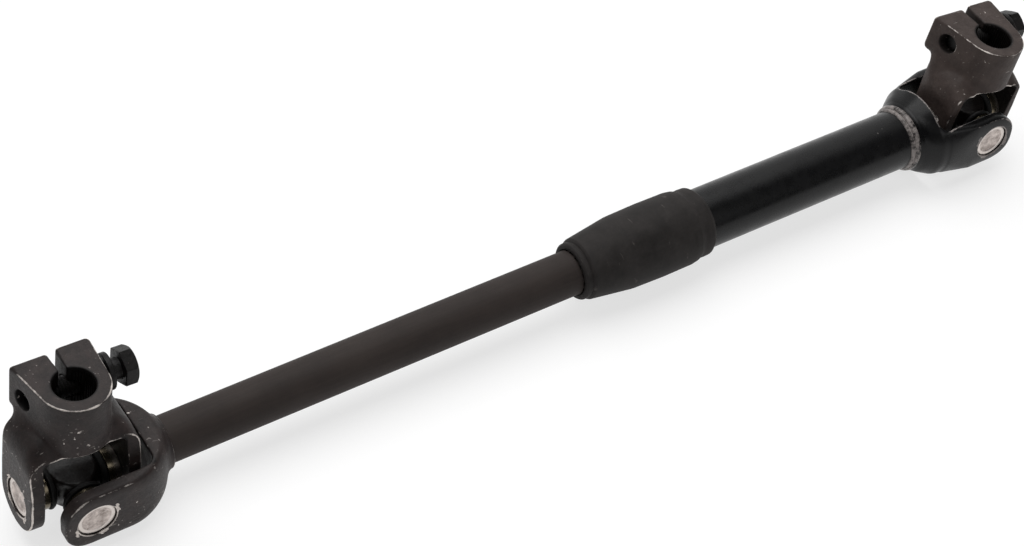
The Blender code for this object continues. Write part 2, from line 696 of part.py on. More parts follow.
def make_boot(parent):
    """Moulded boot: a lip that wipes the shaft, a cone, a barrel on the tube and an end band."""
    tube_gap = TUBE_R + PRESS_GAP
    lip_bore = SHAFT_R + BOOT_LIP_GAP
    start = TUBE_MOUTH - BOOT_REACH
    end = TUBE_MOUTH + BOOT_GRIP
    cone_start = start + BOOT_LIP_LENGTH
    cone_end = cone_start + BOOT_CONE_LENGTH
    band_start = end - BOOT_BAND_LENGTH
    profile = [
        (tube_gap + BOOT_MIN_WALL / 2, end),
        (BOOT_BAND_R, end - 1.6 * MM),
        (BOOT_BAND_R, band_start),
        (BOOT_R, band_start - 2 * MM),
        (BOOT_R, cone_end + 8 * MM),
        (BOOT_SHOULDER_R, cone_end),
        (BOOT_CONE_R, cone_start + 0.8 * MM),
        (BOOT_LIP_R - 0.3 * MM, cone_start),
        (BOOT_LIP_R, cone_start - 0.6 * MM),
        (BOOT_LIP_R - 0.9 * MM, start),
        (lip_bore + 0.6 * MM, start),
        (lip_bore, start + 0.8 * MM),
        (lip_bore, cone_start + 1 * MM),
        (tube_gap, TUBE_MOUTH - 4 * MM),
        (tube_gap, end),
    ]
    place(turned("boot", profile, LARGE_STEPS, ring=True), parent, ALONG_X, BOOT_RUBBER)


def bounds():
    """Lowest and highest corner of all the finished pieces."""
    bpy.context.view_layer.update()
    graph = bpy.context.evaluated_depsgraph_get()
    low = [math.inf] * 3
    high = [-math.inf] * 3
    for obj in PARTS.objects:
        if obj.type != "MESH":
            continue
        evaluated = obj.evaluated_get(graph)
        mesh = evaluated.to_mesh()
        for vertex in mesh.vertices:
            point = evaluated.matrix_world @ vertex.co
            low = [min(a, b) for a, b in zip(low, point)]
            high = [max(a, b) for a, b in zip(high, point)]
        evaluated.to_mesh_clear()
    return low, high


clear_scene()
PARTS = new_collection("steering_shaft")
CUTTERS = new_collection("steering_shaft_cutters", cutters=True)

PHOSPHATED_STEEL = new_material("phosphated steel", (0.045, 0.038, 0.034), 0.6, 0.4)
DARK_OXIDE = new_material("oil-blackened forging", (0.035, 0.031, 0.029), 0.55, 0.5)
WARM_PHOSPHATE = new_material("phosphated forging", (0.07, 0.062, 0.057), 0.6, 0.4)
GLOSS_BLACK = new_material("gloss black paint", (0.006, 0.006, 0.007), 0.25, 0.0)
CAP_STEEL = new_material("drawn steel cap", (0.42, 0.38, 0.36), 0.35, 0.9)
BEARING_STEEL = new_material("bearing steel", (0.5, 0.49, 0.48), 0.25, 1.0)
FORGED_STEEL = new_material("cross steel", (0.12, 0.11, 0.1), 0.45, 0.8)
BLACK_BOLT = new_material("black oxide bolt", (0.03, 0.029, 0.028), 0.45, 0.6)
BOOT_RUBBER = new_material("boot rubber", (0.022, 0.02, 0.019), 0.75, 0.0)
SEAL_RUBBER = new_material("seal rubber", (0.02, 0.02, 0.02), 0.7, 0.0)
BUSH_PLASTIC = new_material("guide bush plastic", (0.6, 0.58, 0.52), 0.5, 0.0)

LOWER_JOINT = {
    "fold": LOWER_FOLD,
    "lean": LOWER_LEAN,
    "ear_face": LOWER_EAR_FACE,
    "ear_r": LOWER_EAR_R,
    "turn_r": LOWER_TURN_R,
    "neck_r": LOWER_NECK_R,
    "neck_front": LOWER_NECK_FRONT,
    "neck_rear": LOWER_NECK_REAR,
    "arch": LOWER_ARCH,
    "shoulder_r": LOWER_SHOULDER_R,
    "hub_top": LOWER_HUB_TOP,
    "head_side": LOWER_LUG_HEAD_SIDE,
    "head_rear": LOWER_HEAD_REAR,
    "tapped_rear": LOWER_TAPPED_REAR,
    "bolt_drop": LOWER_BOLT_DROP,
    "bolt_out": LOWER_BOLT_OUT,
    "washer_out": LOWER_WASHER_OUT,
}
UPPER_JOINT = {
    "fold": UPPER_FOLD,
    "lean": UPPER_LEAN,
    "ear_face": UPPER_EAR_FACE,
    "ear_r": UPPER_EAR_R,
    "turn_r": UPPER_TURN_R,
    "neck_r": UPPER_NECK_R,
    "neck_front": UPPER_NECK_FRONT,
    "neck_rear": UPPER_NECK_REAR,
    "arch": UPPER_ARCH,
    "shoulder_r": UPPER_SHOULDER_R,
    "hub_top": UPPER_HUB_TOP,
    "head_side": UPPER_LUG_HEAD_SIDE,
    "head_rear": UPPER_HEAD_REAR,
    "tapped_rear": UPPER_TAPPED_REAR,
    "bolt_drop": UPPER_BOLT_DROP,
    "bolt_out": 0,
    "washer_out": 0,
}

root = new_empty("shaft_line", None, Matrix.Identity(4))
lower_centre = Matrix.Rotation(FORK_TWIST, 4, "X")
upper_centre = Matrix.Translation((JOINT_SPAN, 0, 0)) @ Matrix.Rotation(-FORK_TWIST, 4, "X")
lower_fork_frame = make_joint("lower", root, lower_centre, LOWER_JOINT, DARK_OXIDE)
upper_fork_frame = make_joint("upper", root, upper_centre, UPPER_JOINT, WARM_PHOSPHATE)
make_lower_fork(lower_fork_frame)
make_upper_fork(new_empty("upper_fork_base", upper_fork_frame, HALF_TURN))
make_inner_shaft(root)
make_outer_tube(root)
make_guide_bush(root)
make_splined_sleeve(root)
make_boot(root)

lowest, highest = bounds()
root.location = (-(lowest[0] + highest[0]) / 2, -(lowest[1] + highest[1]) / 2, -lowest[2])
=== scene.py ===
"""The steering shaft dressed for its render: smooth forgings, turned parts, threads and finishes.

Forged pieces are described as distance fields in millimetres in their own joint's frame, and
skinned with a grid. Turned pieces are spun from a profile. What repeats is made by Geometry Nodes.
"""
import json
import math

import bpy
import numpy as np
from mathutils import Matrix, Vector


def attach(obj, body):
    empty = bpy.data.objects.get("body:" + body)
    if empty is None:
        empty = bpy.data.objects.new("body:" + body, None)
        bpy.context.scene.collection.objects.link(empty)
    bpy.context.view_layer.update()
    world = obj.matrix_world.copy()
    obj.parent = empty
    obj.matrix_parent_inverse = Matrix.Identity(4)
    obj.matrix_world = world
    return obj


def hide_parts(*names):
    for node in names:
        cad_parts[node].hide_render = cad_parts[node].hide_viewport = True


MM = 0.001

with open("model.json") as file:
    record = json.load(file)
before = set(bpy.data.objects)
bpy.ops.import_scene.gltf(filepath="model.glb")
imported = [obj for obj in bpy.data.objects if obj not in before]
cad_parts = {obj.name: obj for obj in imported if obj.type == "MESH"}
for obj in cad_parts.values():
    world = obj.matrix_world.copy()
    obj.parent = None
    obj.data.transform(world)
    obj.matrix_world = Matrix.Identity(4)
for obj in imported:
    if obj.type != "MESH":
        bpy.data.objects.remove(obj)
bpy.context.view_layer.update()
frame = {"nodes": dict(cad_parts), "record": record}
record = frame["record"]
joint_of = {joint["name"]: joint for joint in record["behaviour"]["joints"]}
mount_of = {mount["name"]: mount for mount in record["mounts"]}


# Camera, at the photograph's angle

camera_data = bpy.data.cameras.new("photo_camera")
camera_data.sensor_fit = "HORIZONTAL"
camera_data.sensor_width = 36
camera_data.lens = 87.5305
camera_data.clip_end = 20
camera = bpy.data.objects.new("photo_camera", camera_data)
bpy.context.scene.collection.objects.link(camera)
CAMERA_RIGHT = Vector((0.83824, -0.53746, 0.09211))
CAMERA_UP = Vector((0.34086, 0.6483, 0.68083))
CAMERA_BACK = Vector((-0.42564, -0.5393, 0.72663))
CAMERA_PLACE = Vector((-0.431634, -0.51492, 0.726569))
turned = Matrix((CAMERA_RIGHT, CAMERA_UP, CAMERA_BACK)).transposed().to_4x4()
camera.matrix_world = Matrix.Translation(CAMERA_PLACE) @ turned
bpy.context.scene.camera = camera
bpy.context.scene.view_settings.view_transform = "Standard"


# Frames of the two joints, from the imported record

def axes_matrix(centre, x, y, z):
    """Local millimetres to world metres."""
    axes = Matrix((x, y, z)).transposed().to_4x4()
    return Matrix.Translation(centre) @ axes @ Matrix.Scale(MM, 4)


def joint_frames(side, towards_shaft):
    """The clamp's, the cross's and the fork's frames of one joint."""
    fork_hinge = joint_of[side + "_fork_trunnion"]
    clamp_hinge = joint_of[side + "_clamp_trunnion"]
    centre = Vector(fork_hinge["pos_m"])
    across = Vector(fork_hinge["axis"]).normalized()
    along = Vector(clamp_hinge["axis"]).normalized()
    up = Vector(mount_of[side + "_clamp_face"]["axis"]).normalized()
    clamp = axes_matrix(centre, along, up.cross(along), up)
    cross = axes_matrix(centre, along, across, along.cross(across))
    x = Vector((towards_shaft, 0, 0))
    y = across * towards_shaft
    fork = axes_matrix(centre, x, y, x.cross(y))
    return clamp, cross, fork


LOWER_CLAMP, LOWER_CROSS, LOWER_FORK = joint_frames("lower", 1)
UPPER_CLAMP, UPPER_CROSS, UPPER_FORK = joint_frames("upper", -1)
LOWER_CENTRE = Vector(joint_of["lower_fork_trunnion"]["pos_m"])
SHAFT_LINE = axes_matrix(LOWER_CENTRE, Vector((0, 1, 0)), Vector((0, 0, 1)), Vector((1, 0, 0)))
UPPER_LINE = axes_matrix(
    Vector(joint_of["upper_fork_trunnion"]["pos_m"]),
    Vector((0, -1, 0)), Vector((0, 0, 1)), Vector((-1, 0, 0)),
)


# Finishes

def linear(code):
    """A #rrggbb colour as linear light."""
    values = [int(code[i:i + 2], 16) / 255 for i in (1, 3, 5)]
    return tuple(v / 12.92 if v <= 0.04045 else ((v + 0.055) / 1.055) ** 2.4 for v in values) + (1.0,)


def fill(tree, node, inputs):
    """Puts a value or a link on each named input of a node."""
    for key, value in inputs.items():
        if isinstance(value, bpy.types.NodeSocket):
            tree.links.new(value, node.inputs[key])
        else:
            node.inputs[key].default_value = value


def add(tree, kind, inputs=None, **settings):
    """Adds one node with its settings, and values or links on its inputs.

    A colour mix has its factor at 0, its two colours at 6 and 7, and its result at output 2.
    """
    made = tree.nodes.new(kind)
    for key, value in settings.items():
        setattr(made, key, value)
    fill(tree, made, inputs or {})
    return made


def set_stops(ramp, *stops):
    """The places and colours of a colour ramp's two stops."""
    for element, (position, colour) in zip(ramp.color_ramp.elements, stops):
        element.position = position
        element.color = linear(colour)


def new_finish(name):
    material = bpy.data.materials.new(name)
    material.use_nodes = True
    tree = material.node_tree
    return material, tree, tree.nodes["Principled BSDF"]


def forging_finish(name, dark, light, worn, roughness, wear, specular, nicks=0.55):
    """Drop-forged steel with a dark conversion coating, rubbed bright on its edges and nicked.

    Scale pits and grit blasting give a grain of about 0.6 mm, the coating clouds over 7 mm, and
    handling leaves bright specks and short scratches. Bores and insides are darkened with painted shade.
    A higher wear widens the rubbed edges, and a higher value of nicks makes the specks rarer.
    """
    material, tree, shader = new_finish(name)
    place = add(tree, "ShaderNodeTexCoord").outputs["Object"]
    # The coating's clouds, the grain, shallow dents, and patches of wear and of nicks
    noises = []
    for scale, detail, ragged in (
        (140, 6, 0.68), (1500, 4, 0.65), (420, 3, 0.5), (190, 6, 0.7), (70, 4, 0.7),
    ):
        noise = add(tree, "ShaderNodeTexNoise", {
            "Vector": place, "Scale": scale, "Detail": detail, "Roughness": ragged})
        noises.append(noise.outputs["Fac"])
    clouds, grain, dents, patchy, gate = noises
    tone = add(tree, "ShaderNodeValToRGB", {"Fac": clouds})
    set_stops(tone, (0.36, dark), (0.66, light))
    # Painted shade: the attribute is 1 in a bore and about a half between the ears, and darkens the
    # colour there
    painted_shade = add(tree, "ShaderNodeAttribute", attribute_name="painted_shade")
    shaded = add(tree, "ShaderNodeMix", {
        0: painted_shade.outputs["Fac"], 6: tone.outputs["Color"], 7: linear("#060505")}, data_type="RGBA")
    # Edges: the attribute is 1 on a tight outside edge, and noise breaks the rubbed line up
    edge = add(tree, "ShaderNodeAttribute", attribute_name="edge")
    broken = add(tree, "ShaderNodeMath", {0: patchy, 1: 1.3, 2: wear - 1.15}, operation="MULTIPLY_ADD")
    rubbed = add(tree, "ShaderNodeMath", {0: edge.outputs["Fac"], 1: broken.outputs[0]}, operation="ADD")
    rub = add(tree, "ShaderNodeMapRange", {
        "Value": rubbed.outputs[0], "From Min": 0.62, "From Max": 0.86, "To Max": 0.95})
    # Nicks: ragged specks of bare metal about 0.5 mm across, in scattered patches
    speck = add(tree, "ShaderNodeTexNoise", {
        "Vector": place, "Scale": 620.0, "Detail": 2.0, "Distortion": 0.6})
    small = add(tree, "ShaderNodeMapRange", {
        "Value": speck.outputs["Fac"], "From Min": 0.66, "From Max": 0.74})
    open_gate = add(tree, "ShaderNodeMapRange", {
        "Value": gate, "From Min": nicks, "From Max": nicks + 0.1})
    nick = add(tree, "ShaderNodeMath", {0: small.outputs[0], 1: open_gate.outputs[0]},
               operation="MULTIPLY")
    # Scratches: noise drawn out along one slanting line
    slant = add(tree, "ShaderNodeMapping", {
        "Vector": place, "Rotation": (0.5, 0.9, 1.9), "Scale": (1.0, 9.0, 6.0)})
    drawn = add(tree, "ShaderNodeTexNoise", {"Vector": slant.outputs[0], "Scale": 120.0, "Detail": 3.0})
    scratch = add(tree, "ShaderNodeMapRange", {
        "Value": drawn.outputs["Fac"], "From Min": 0.69, "From Max": 0.8, "To Max": 0.4})
    marks = add(tree, "ShaderNodeMath", {0: nick.outputs[0], 1: scratch.outputs[0]}, operation="MAXIMUM")
    bright = add(tree, "ShaderNodeMath", {0: rub.outputs[0], 1: marks.outputs[0]},
                 operation="MAXIMUM", use_clamp=True)
    colour = add(tree, "ShaderNodeMix", {
        0: bright.outputs[0], 6: shaded.outputs[2], 7: linear(worn)}, data_type="RGBA")
    bare = add(tree, "ShaderNodeMath", {0: bright.outputs[0], 1: 0.8}, operation="MULTIPLY")
    rough = add(tree, "ShaderNodeMapRange", {
        "Value": grain, "From Min": 0.3, "From Max": 0.7,
        "To Min": roughness - 0.08, "To Max": roughness + 0.1})
    relief = add(tree, "ShaderNodeMath", {0: dents, 1: 2.6, 2: grain}, operation="MULTIPLY_ADD")
    bump = add(tree, "ShaderNodeBump", {
        "Height": relief.outputs[0], "Strength": 0.5, "Distance": 0.00014})
    fill(tree, shader, {
        "Base Color": colour.outputs[2], "Metallic": bare.outputs[0], "Roughness": rough.outputs[0],
        "Specular IOR Level": specular, "Normal": bump.outputs[0]})
    return material


def cap_steel_finish(name):
    """Deep-drawn bearing cap: a dulled, stained end face in a bright rim, and a glossy skirt darkened
    with painted shade.

    The attribute "zone" is 0 on the face, 0.5 on the rim and 1 on the skirt and inside.
    """
    material, tree, shader = new_finish(name)
    place = add(tree, "ShaderNodeTexCoord").outputs["Object"]
    zone = add(tree, "ShaderNodeAttribute", attribute_name="zone")
    stain = add(tree, "ShaderNodeTexNoise", {
        "Vector": place, "Scale": 300.0, "Detail": 6.0, "Roughness": 0.7})
    grain = add(tree, "ShaderNodeTexNoise", {"Vector": place, "Scale": 2600.0, "Detail": 3.0})
    tone = add(tree, "ShaderNodeValToRGB", {"Fac": stain.outputs["Fac"]})
    set_stops(tone, (0.34, "#877c76"), (0.62, "#d8cdc7"))
    rim = add(tree, "ShaderNodeMapRange", {
        "Value": zone.outputs["Fac"], "From Min": 0.15, "From Max": 0.45})
    skirt = add(tree, "ShaderNodeMapRange", {
        "Value": zone.outputs["Fac"], "From Min": 0.6, "From Max": 0.9})
    face = add(tree, "ShaderNodeMix", {0: rim.outputs[0], 6: tone.outputs["Color"], 7: linear("#ddd5cf")},
               data_type="RGBA")
    # The skirt's dark colour is painted shade, where it stands out into the space between the ears
    colour = add(tree, "ShaderNodeMix", {
        0: skirt.outputs[0], 6: face.outputs[2], 7: linear("#6e6555")}, data_type="RGBA")
    rough = add(tree, "ShaderNodeMapRange", {"Value": skirt.outputs[0], "To Min": 0.42, "To Max": 0.16})
    uneven = add(tree, "ShaderNodeMath", {0: grain.outputs["Fac"], 1: 0.16, 2: rough.outputs[0]},
                 operation="MULTIPLY_ADD")
    bump = add(tree, "ShaderNodeBump", {
        "Height": stain.outputs["Fac"], "Strength": 0.3, "Distance": 0.0001})
    fill(tree, shader, {
        "Base Color": colour.outputs[2], "Metallic": 0.9, "Roughness": uneven.outputs[0],
        "Normal": bump.outputs[0]})
    return material


def ground_steel_finish(name):
    """Ground bearing steel: bright, with a fine grain and a faint brown stain from storage."""
    material, tree, shader = new_finish(name)
    place = add(tree, "ShaderNodeTexCoord").outputs["Object"]
    stain = add(tree, "ShaderNodeTexNoise", {
        "Vector": place, "Scale": 320.0, "Detail": 5.0, "Roughness": 0.65})
    grain = add(tree, "ShaderNodeTexNoise", {"Vector": place, "Scale": 2600.0, "Detail": 3.0})
    tone = add(tree, "ShaderNodeValToRGB", {"Fac": stain.outputs["Fac"]})
    set_stops(tone, (0.3, "#b4b0ac"), (0.62, "#c8c6c4"))
    rough = add(tree, "ShaderNodeMapRange", {
        "Value": grain.outputs["Fac"], "From Min": 0.3, "From Max": 0.7,
        "To Min": 0.17, "To Max": 0.35})
    bump = add(tree, "ShaderNodeBump", {
        "Height": grain.outputs["Fac"], "Strength": 0.15, "Distance": 0.00005})
    fill(tree, shader, {
        "Base Color": tone.outputs["Color"], "Metallic": 1.0, "Roughness": rough.outputs[0],
        "Normal": bump.outputs[0]})
    return material


def phosphated_bar_finish(name):
    """Cold-drawn bar with manganese phosphate: an even brown-black, faintly streaked lengthwise."""
    material, tree, shader = new_finish(name)
    place = add(tree, "ShaderNodeTexCoord").outputs["Object"]
    along = add(tree, "ShaderNodeMapping", {"Vector": place, "Scale": (0.06, 1.0, 1.0)})
    streaks = add(tree, "ShaderNodeTexNoise", {"Vector": along.outputs[0], "Scale": 900.0, "Detail": 4.0})
    clouds = add(tree, "ShaderNodeTexNoise", {
        "Vector": place, "Scale": 60.0, "Detail": 5.0, "Roughness": 0.6})
    crystals = add(tree, "ShaderNodeTexNoise", {"Vector": place, "Scale": 2200.0, "Detail": 3.0})
    both = add(tree, "ShaderNodeMath", {0: streaks.outputs["Fac"], 1: 0.5, 2: clouds.outputs["Fac"]},
               operation="MULTIPLY_ADD")
    tone = add(tree, "ShaderNodeValToRGB", {"Fac": both.outputs[0]})
    set_stops(tone, (0.45, "#292321"), (1.0, "#332c29"))
    rough = add(tree, "ShaderNodeMapRange", {
        "Value": crystals.outputs["Fac"], "From Min": 0.3, "From Max": 0.7,
        "To Min": 0.6, "To Max": 0.72})
    bump = add(tree, "ShaderNodeBump", {
        "Height": crystals.outputs["Fac"], "Strength": 0.2, "Distance": 0.00005})
    fill(tree, shader, {
        "Base Color": tone.outputs["Color"], "Roughness": rough.outputs[0],
        "Specular IOR Level": 0.2, "Normal": bump.outputs[0]})
    return material


def black_paint_finish(name):
    """Dip-painted steel: thin semi-gloss black enamel with a slight orange peel, rubbed on edges."""
    material, tree, shader = new_finish(name)
    place = add(tree, "ShaderNodeTexCoord").outputs["Object"]
    peel = add(tree, "ShaderNodeTexNoise", {"Vector": place, "Scale": 550.0, "Detail": 3.0})
    scuff = add(tree, "ShaderNodeTexNoise", {
        "Vector": place, "Scale": 170.0, "Detail": 6.0, "Roughness": 0.75})
    rough = add(tree, "ShaderNodeMapRange", {
        "Value": scuff.outputs["Fac"], "From Min": 0.4, "From Max": 0.75,
        "To Min": 0.24, "To Max": 0.42})
    edge = add(tree, "ShaderNodeAttribute", attribute_name="edge")
    patchy = add(tree, "ShaderNodeTexNoise", {
        "Vector": place, "Scale": 380.0, "Detail": 4.0, "Roughness": 0.7})
    rubbed = add(tree, "ShaderNodeMath", {0: edge.outputs["Fac"], 1: patchy.outputs["Fac"]},
                 operation="MULTIPLY")
    rub = add(tree, "ShaderNodeMapRange", {
        "Value": rubbed.outputs[0], "From Min": 0.22, "From Max": 0.34, "To Max": 0.9})
    # Flecks: chips of under 1 mm, in scattered patches
    fleck = add(tree, "ShaderNodeTexVoronoi", {"Vector": place, "Scale": 300.0})
    gate = add(tree, "ShaderNodeTexNoise", {"Vector": place, "Scale": 42.0, "Detail": 2.0})
    small = add(tree, "ShaderNodeMapRange", {
        "Value": fleck.outputs["Distance"], "From Min": 0.13, "From Max": 0.05})
    open_gate = add(tree, "ShaderNodeMapRange", {
        "Value": gate.outputs["Fac"], "From Min": 0.62, "From Max": 0.7, "To Max": 0.6})
    nick = add(tree, "ShaderNodeMath", {0: small.outputs[0], 1: open_gate.outputs[0]},
               operation="MULTIPLY")
    bare = add(tree, "ShaderNodeMath", {0: rub.outputs[0], 1: nick.outputs[0]},
               operation="MAXIMUM", use_clamp=True)
    colour = add(tree, "ShaderNodeMix", {0: bare.outputs[0], 6: linear("#0b0b0c"), 7: linear("#8d8683")},
                 data_type="RGBA")
    bump = add(tree, "ShaderNodeBump", {
        "Height": peel.outputs["Fac"], "Strength": 0.12, "Distance": 0.0001})
    fill(tree, shader, {
        "Base Color": colour.outputs[2], "Roughness": rough.outputs[0],
        "Specular IOR Level": 0.22, "Normal": bump.outputs[0]})
    return material


def rubber_finish(name, dark, light, specular):
    """Moulded black rubber: matte, with a faint grey bloom, pale scuffs and a fine moulded grain."""
    material, tree, shader = new_finish(name)
    place = add(tree, "ShaderNodeTexCoord").outputs["Object"]
    bloom = add(tree, "ShaderNodeTexNoise", {
        "Vector": place, "Scale": 75.0, "Detail": 7.0, "Roughness": 0.7})
    grain = add(tree, "ShaderNodeTexNoise", {"Vector": place, "Scale": 1400.0, "Detail": 3.0})
    tone = add(tree, "ShaderNodeValToRGB", {"Fac": bloom.outputs["Fac"]})
    set_stops(tone, (0.35, dark), (0.7, light))
    # Scuffs: short pale rubs, drawn out round the piece
    slant = add(tree, "ShaderNodeMapping", {
        "Vector": place, "Rotation": (0.4, 0, 0), "Scale": (5.0, 1.0, 2.0)})
    drawn = add(tree, "ShaderNodeTexNoise", {"Vector": slant.outputs[0], "Scale": 95.0, "Detail": 5.0})
    scuff = add(tree, "ShaderNodeMapRange", {
        "Value": drawn.outputs["Fac"], "From Min": 0.66, "From Max": 0.78, "To Max": 0.35})
    colour = add(tree, "ShaderNodeMix", {
        0: scuff.outputs[0], 6: tone.outputs["Color"], 7: linear("#7a7370")}, data_type="RGBA")
    rough = add(tree, "ShaderNodeMapRange", {
        "Value": bloom.outputs["Fac"], "From Min": 0.3, "From Max": 0.7,
        "To Min": 0.56, "To Max": 0.74})
    bump = add(tree, "ShaderNodeBump", {
        "Height": grain.outputs["Fac"], "Strength": 0.2, "Distance": 0.00008})
    fill(tree, shader, {
        "Base Color": colour.outputs[2], "Roughness": rough.outputs[0],
        "Specular IOR Level": specular, "Normal": bump.outputs[0]})
    return material


def nylon_finish(name):
    """Natural nylon: cream, a little waxy, with flow marks from the mould."""
    material, tree, shader = new_finish(name)
    place = add(tree, "ShaderNodeTexCoord").outputs["Object"]
    flow = add(tree, "ShaderNodeTexNoise", {"Vector": place, "Scale": 160.0, "Detail": 3.0})
    tone = add(tree, "ShaderNodeValToRGB", {"Fac": flow.outputs["Fac"]})
    set_stops(tone, (0.0, "#c9c2ae"), (1.0, "#d8d2c2"))
    rough = add(tree, "ShaderNodeMapRange", {"Value": flow.outputs["Fac"], "To Min": 0.38, "To Max": 0.5})
    fill(tree, shader, {"Base Color": tone.outputs["Color"], "Roughness": rough.outputs[0]})
    return material


OILED_FORGING = forging_finish("oil_blackened_forging", "#1b1514", "#302725", "#d2cac4",
                               roughness=0.5, wear=0.55, specular=0.24, nicks=0.5)
PHOSPHATE_FORGING = forging_finish("phosphated_forging", "#352c29", "#463c38", "#ddd5cf",
                                   roughness=0.58, wear=0.5, specular=0.22, nicks=0.58)
BLACK_ENAMEL = black_paint_finish("black_dip_enamel")
PHOSPHATED_BAR = phosphated_bar_finish("manganese_phosphated_bar")
DRAWN_CAP = cap_steel_finish("drawn_cap_steel")
BEARING_STEEL = ground_steel_finish("ground_bearing_steel")
# The cross's near-black tones paint the shade that it sits in between the ears
CROSS_STEEL = forging_finish("forged_cross_steel", "#120d0b", "#1f1714", "#8a8078",
                             roughness=0.34, wear=0.3, specular=0.3)
# Near-black tones: painted shade inside the clamp bores, on the serration ribs
SHADED_BORE_STEEL = forging_finish("bore_steel_painted_shade", "#0b0908", "#15110f", "#2a2522",
                           roughness=0.6, wear=0.0, specular=0.06)
BLACK_BOLT = forging_finish("black_oxide_bolt_steel", "#0a0909", "#161413", "#6d6662",
                            roughness=0.42, wear=0.2, specular=0.18)
BOOT_RUBBER = rubber_finish("moulded_boot_rubber", "#201e1d", "#343130", specular=0.12)
SEAL_RUBBER = rubber_finish("nitrile_seal_rubber", "#0d0c0c", "#151313", specular=0.3)
NYLON = nylon_finish("natural_nylon")


# Making and filing pieces

def file_piece(obj, material, body, slot, nodes):
    """Gives a piece its material and body, and hides the CAD's nodes that it replaces; slot is not used.
    """
    obj.data.materials.clear()
    obj.data.materials.append(material)
    bpy.context.scene.collection.objects.link(obj)
    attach(obj, body)
    if nodes:
        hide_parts(*nodes)


def reach(a, b):
    """How far a point lies outside the corner that two faces make, or how deep inside it."""
    return np.hypot(np.maximum(a, 0), np.maximum(b, 0)) + np.minimum(np.maximum(a, b), 0)


def meet(a, b, radius=0.0):
    """What two solids share, the edge between them rounded."""
    return reach(a + radius, b + radius) - radius


def join(a, b, radius=0.0):
    """Two solids as one, with a fillet where they meet."""
    return -meet(-a, -b, radius)


def cut(a, b, radius=0.0):
    """The first solid without the second, the edge of the cut rounded."""
    return meet(a, -b, radius)


def slopes(field, points, step):
    """The field's values one step ahead of each point and one behind it, along each axis."""
    found = []
    for axis in range(3):
        ahead, behind = points.copy(), points.copy()
        ahead[:, axis] += step
        behind[:, axis] -= step
        found.append((field(*ahead.T), field(*behind.T)))
    return found


# How far from a point, in millimetres, the surface is felt for an edge
EDGE_REACH = 0.9


def skin(name, field, low, high, step, matrix, painted_shade_at=None, rubbed_at=None):
    """A mesh of the surface on which field is zero, one vertex to each grid cell that it crosses.

    Its "edge" attribute is 0 on flat and hollow surfaces and under painted shade, and rises to 1 along
    the middle of a tight outside edge, or where rubbed_at says so. Painted shade is what its shade
    function gives.
    """
    axes = [np.arange(a, b + step, step) for a, b in zip(low, high)]
    values = field(*np.meshgrid(*axes, indexing="ij"))
    inside = values < 0
    cells = np.array(values.shape) - 1
    size = int(np.prod(cells))
    strides = np.array([cells[1] * cells[2], cells[2], 1])
    # Each vertex is the mean of the crossings on its cell's edges
    total = np.zeros((size, 3))
    hits = np.zeros(size)
    faces = []
    for axis in range(3):
        near, far = [slice(None)] * 3, [slice(None)] * 3
        near[axis], far[axis] = slice(None, -1), slice(1, None)
        near, far = tuple(near), tuple(far)
        crossing = inside[near] != inside[far]
        a, b = values[near][crossing], values[far][crossing]
        index = np.argwhere(crossing)
        point = index.astype(float)
        point[:, axis] += a / (a - b)
        u, v = (axis + 1) % 3, (axis + 2) % 3
        ring = []
        for du, dv in ((-1, -1), (0, -1), (0, 0), (-1, 0)):
            cell = index.copy()
            cell[:, u] += du
            cell[:, v] += dv
            flat = cell @ strides
            ring.append(flat)
            hits += np.bincount(flat, minlength=size)
            for k in range(3):
                total[:, k] += np.bincount(flat, point[:, k], minlength=size)
        quads = np.stack(ring, 1)
        turned = ~inside[near][crossing]
        quads[turned] = quads[turned][:, ::-1]
        faces.append(quads)
    used = np.flatnonzero(hits)
    number = np.zeros(size, int)
    number[used] = np.arange(len(used))
    points = np.array(low) + step * total[used] / hits[used, None]
    # Three small moves along the slope bring each vertex onto the surface
    for _ in range(3):
        height = field(*points.T)
        slope = np.stack([(a - b) / 0.1 for a, b in slopes(field, points, 0.05)], 1)
        length = np.maximum((slope ** 2).sum(1), 0.2)
        points -= slope * np.clip(height / length, -0.4 * step, 0.4 * step)[:, None]
    bend = sum(a + b for a, b in slopes(field, points, EDGE_REACH)) - 6 * field(*points.T)
    painted_shade = painted_shade_at(*points.T) if painted_shade_at else np.zeros(len(points))
    edge = np.clip(bend / (2 * EDGE_REACH), 0, 1) * (1 - painted_shade)
    if rubbed_at:
        edge = np.maximum(edge, rubbed_at(*points.T))
    mesh = bpy.data.meshes.new(name)
    mesh.from_pydata(points.tolist(), [], number[np.concatenate(faces)].tolist())
    mesh.transform(matrix)
    mesh.attributes.new("edge", "FLOAT", "POINT").data.foreach_set("value", edge.astype(np.float32))
    mesh.attributes.new("painted_shade", "FLOAT", "POINT").data.foreach_set("value", painted_shade.astype(np.float32))
    mesh.shade_smooth()
    return bpy.data.objects.new(name, mesh)


def softened(corners, steps=6):
    """A polyline from (radius, height, corner radius) points, its corners turned into arcs."""
    points = []
    for i, (x, y, radius) in enumerate(corners):
        if not radius or i in (0, len(corners) - 1):
            points.append((x, y))
            continue
        here = Vector((x, y))
        back = Vector(corners[i - 1][:2]) - here
        ahead = Vector(corners[i + 1][:2]) - here
        angle = back.angle(ahead)
        run = min(radius / math.tan(angle / 2), 0.49 * back.length, 0.49 * ahead.length)
        start, end = here + back.normalized() * run, here + ahead.normalized() * run
        for step in range(steps + 1):
            t = step / steps
            points.append(tuple((1 - t) ** 2 * start + 2 * t * (1 - t) * here + t * t * end))
    return points


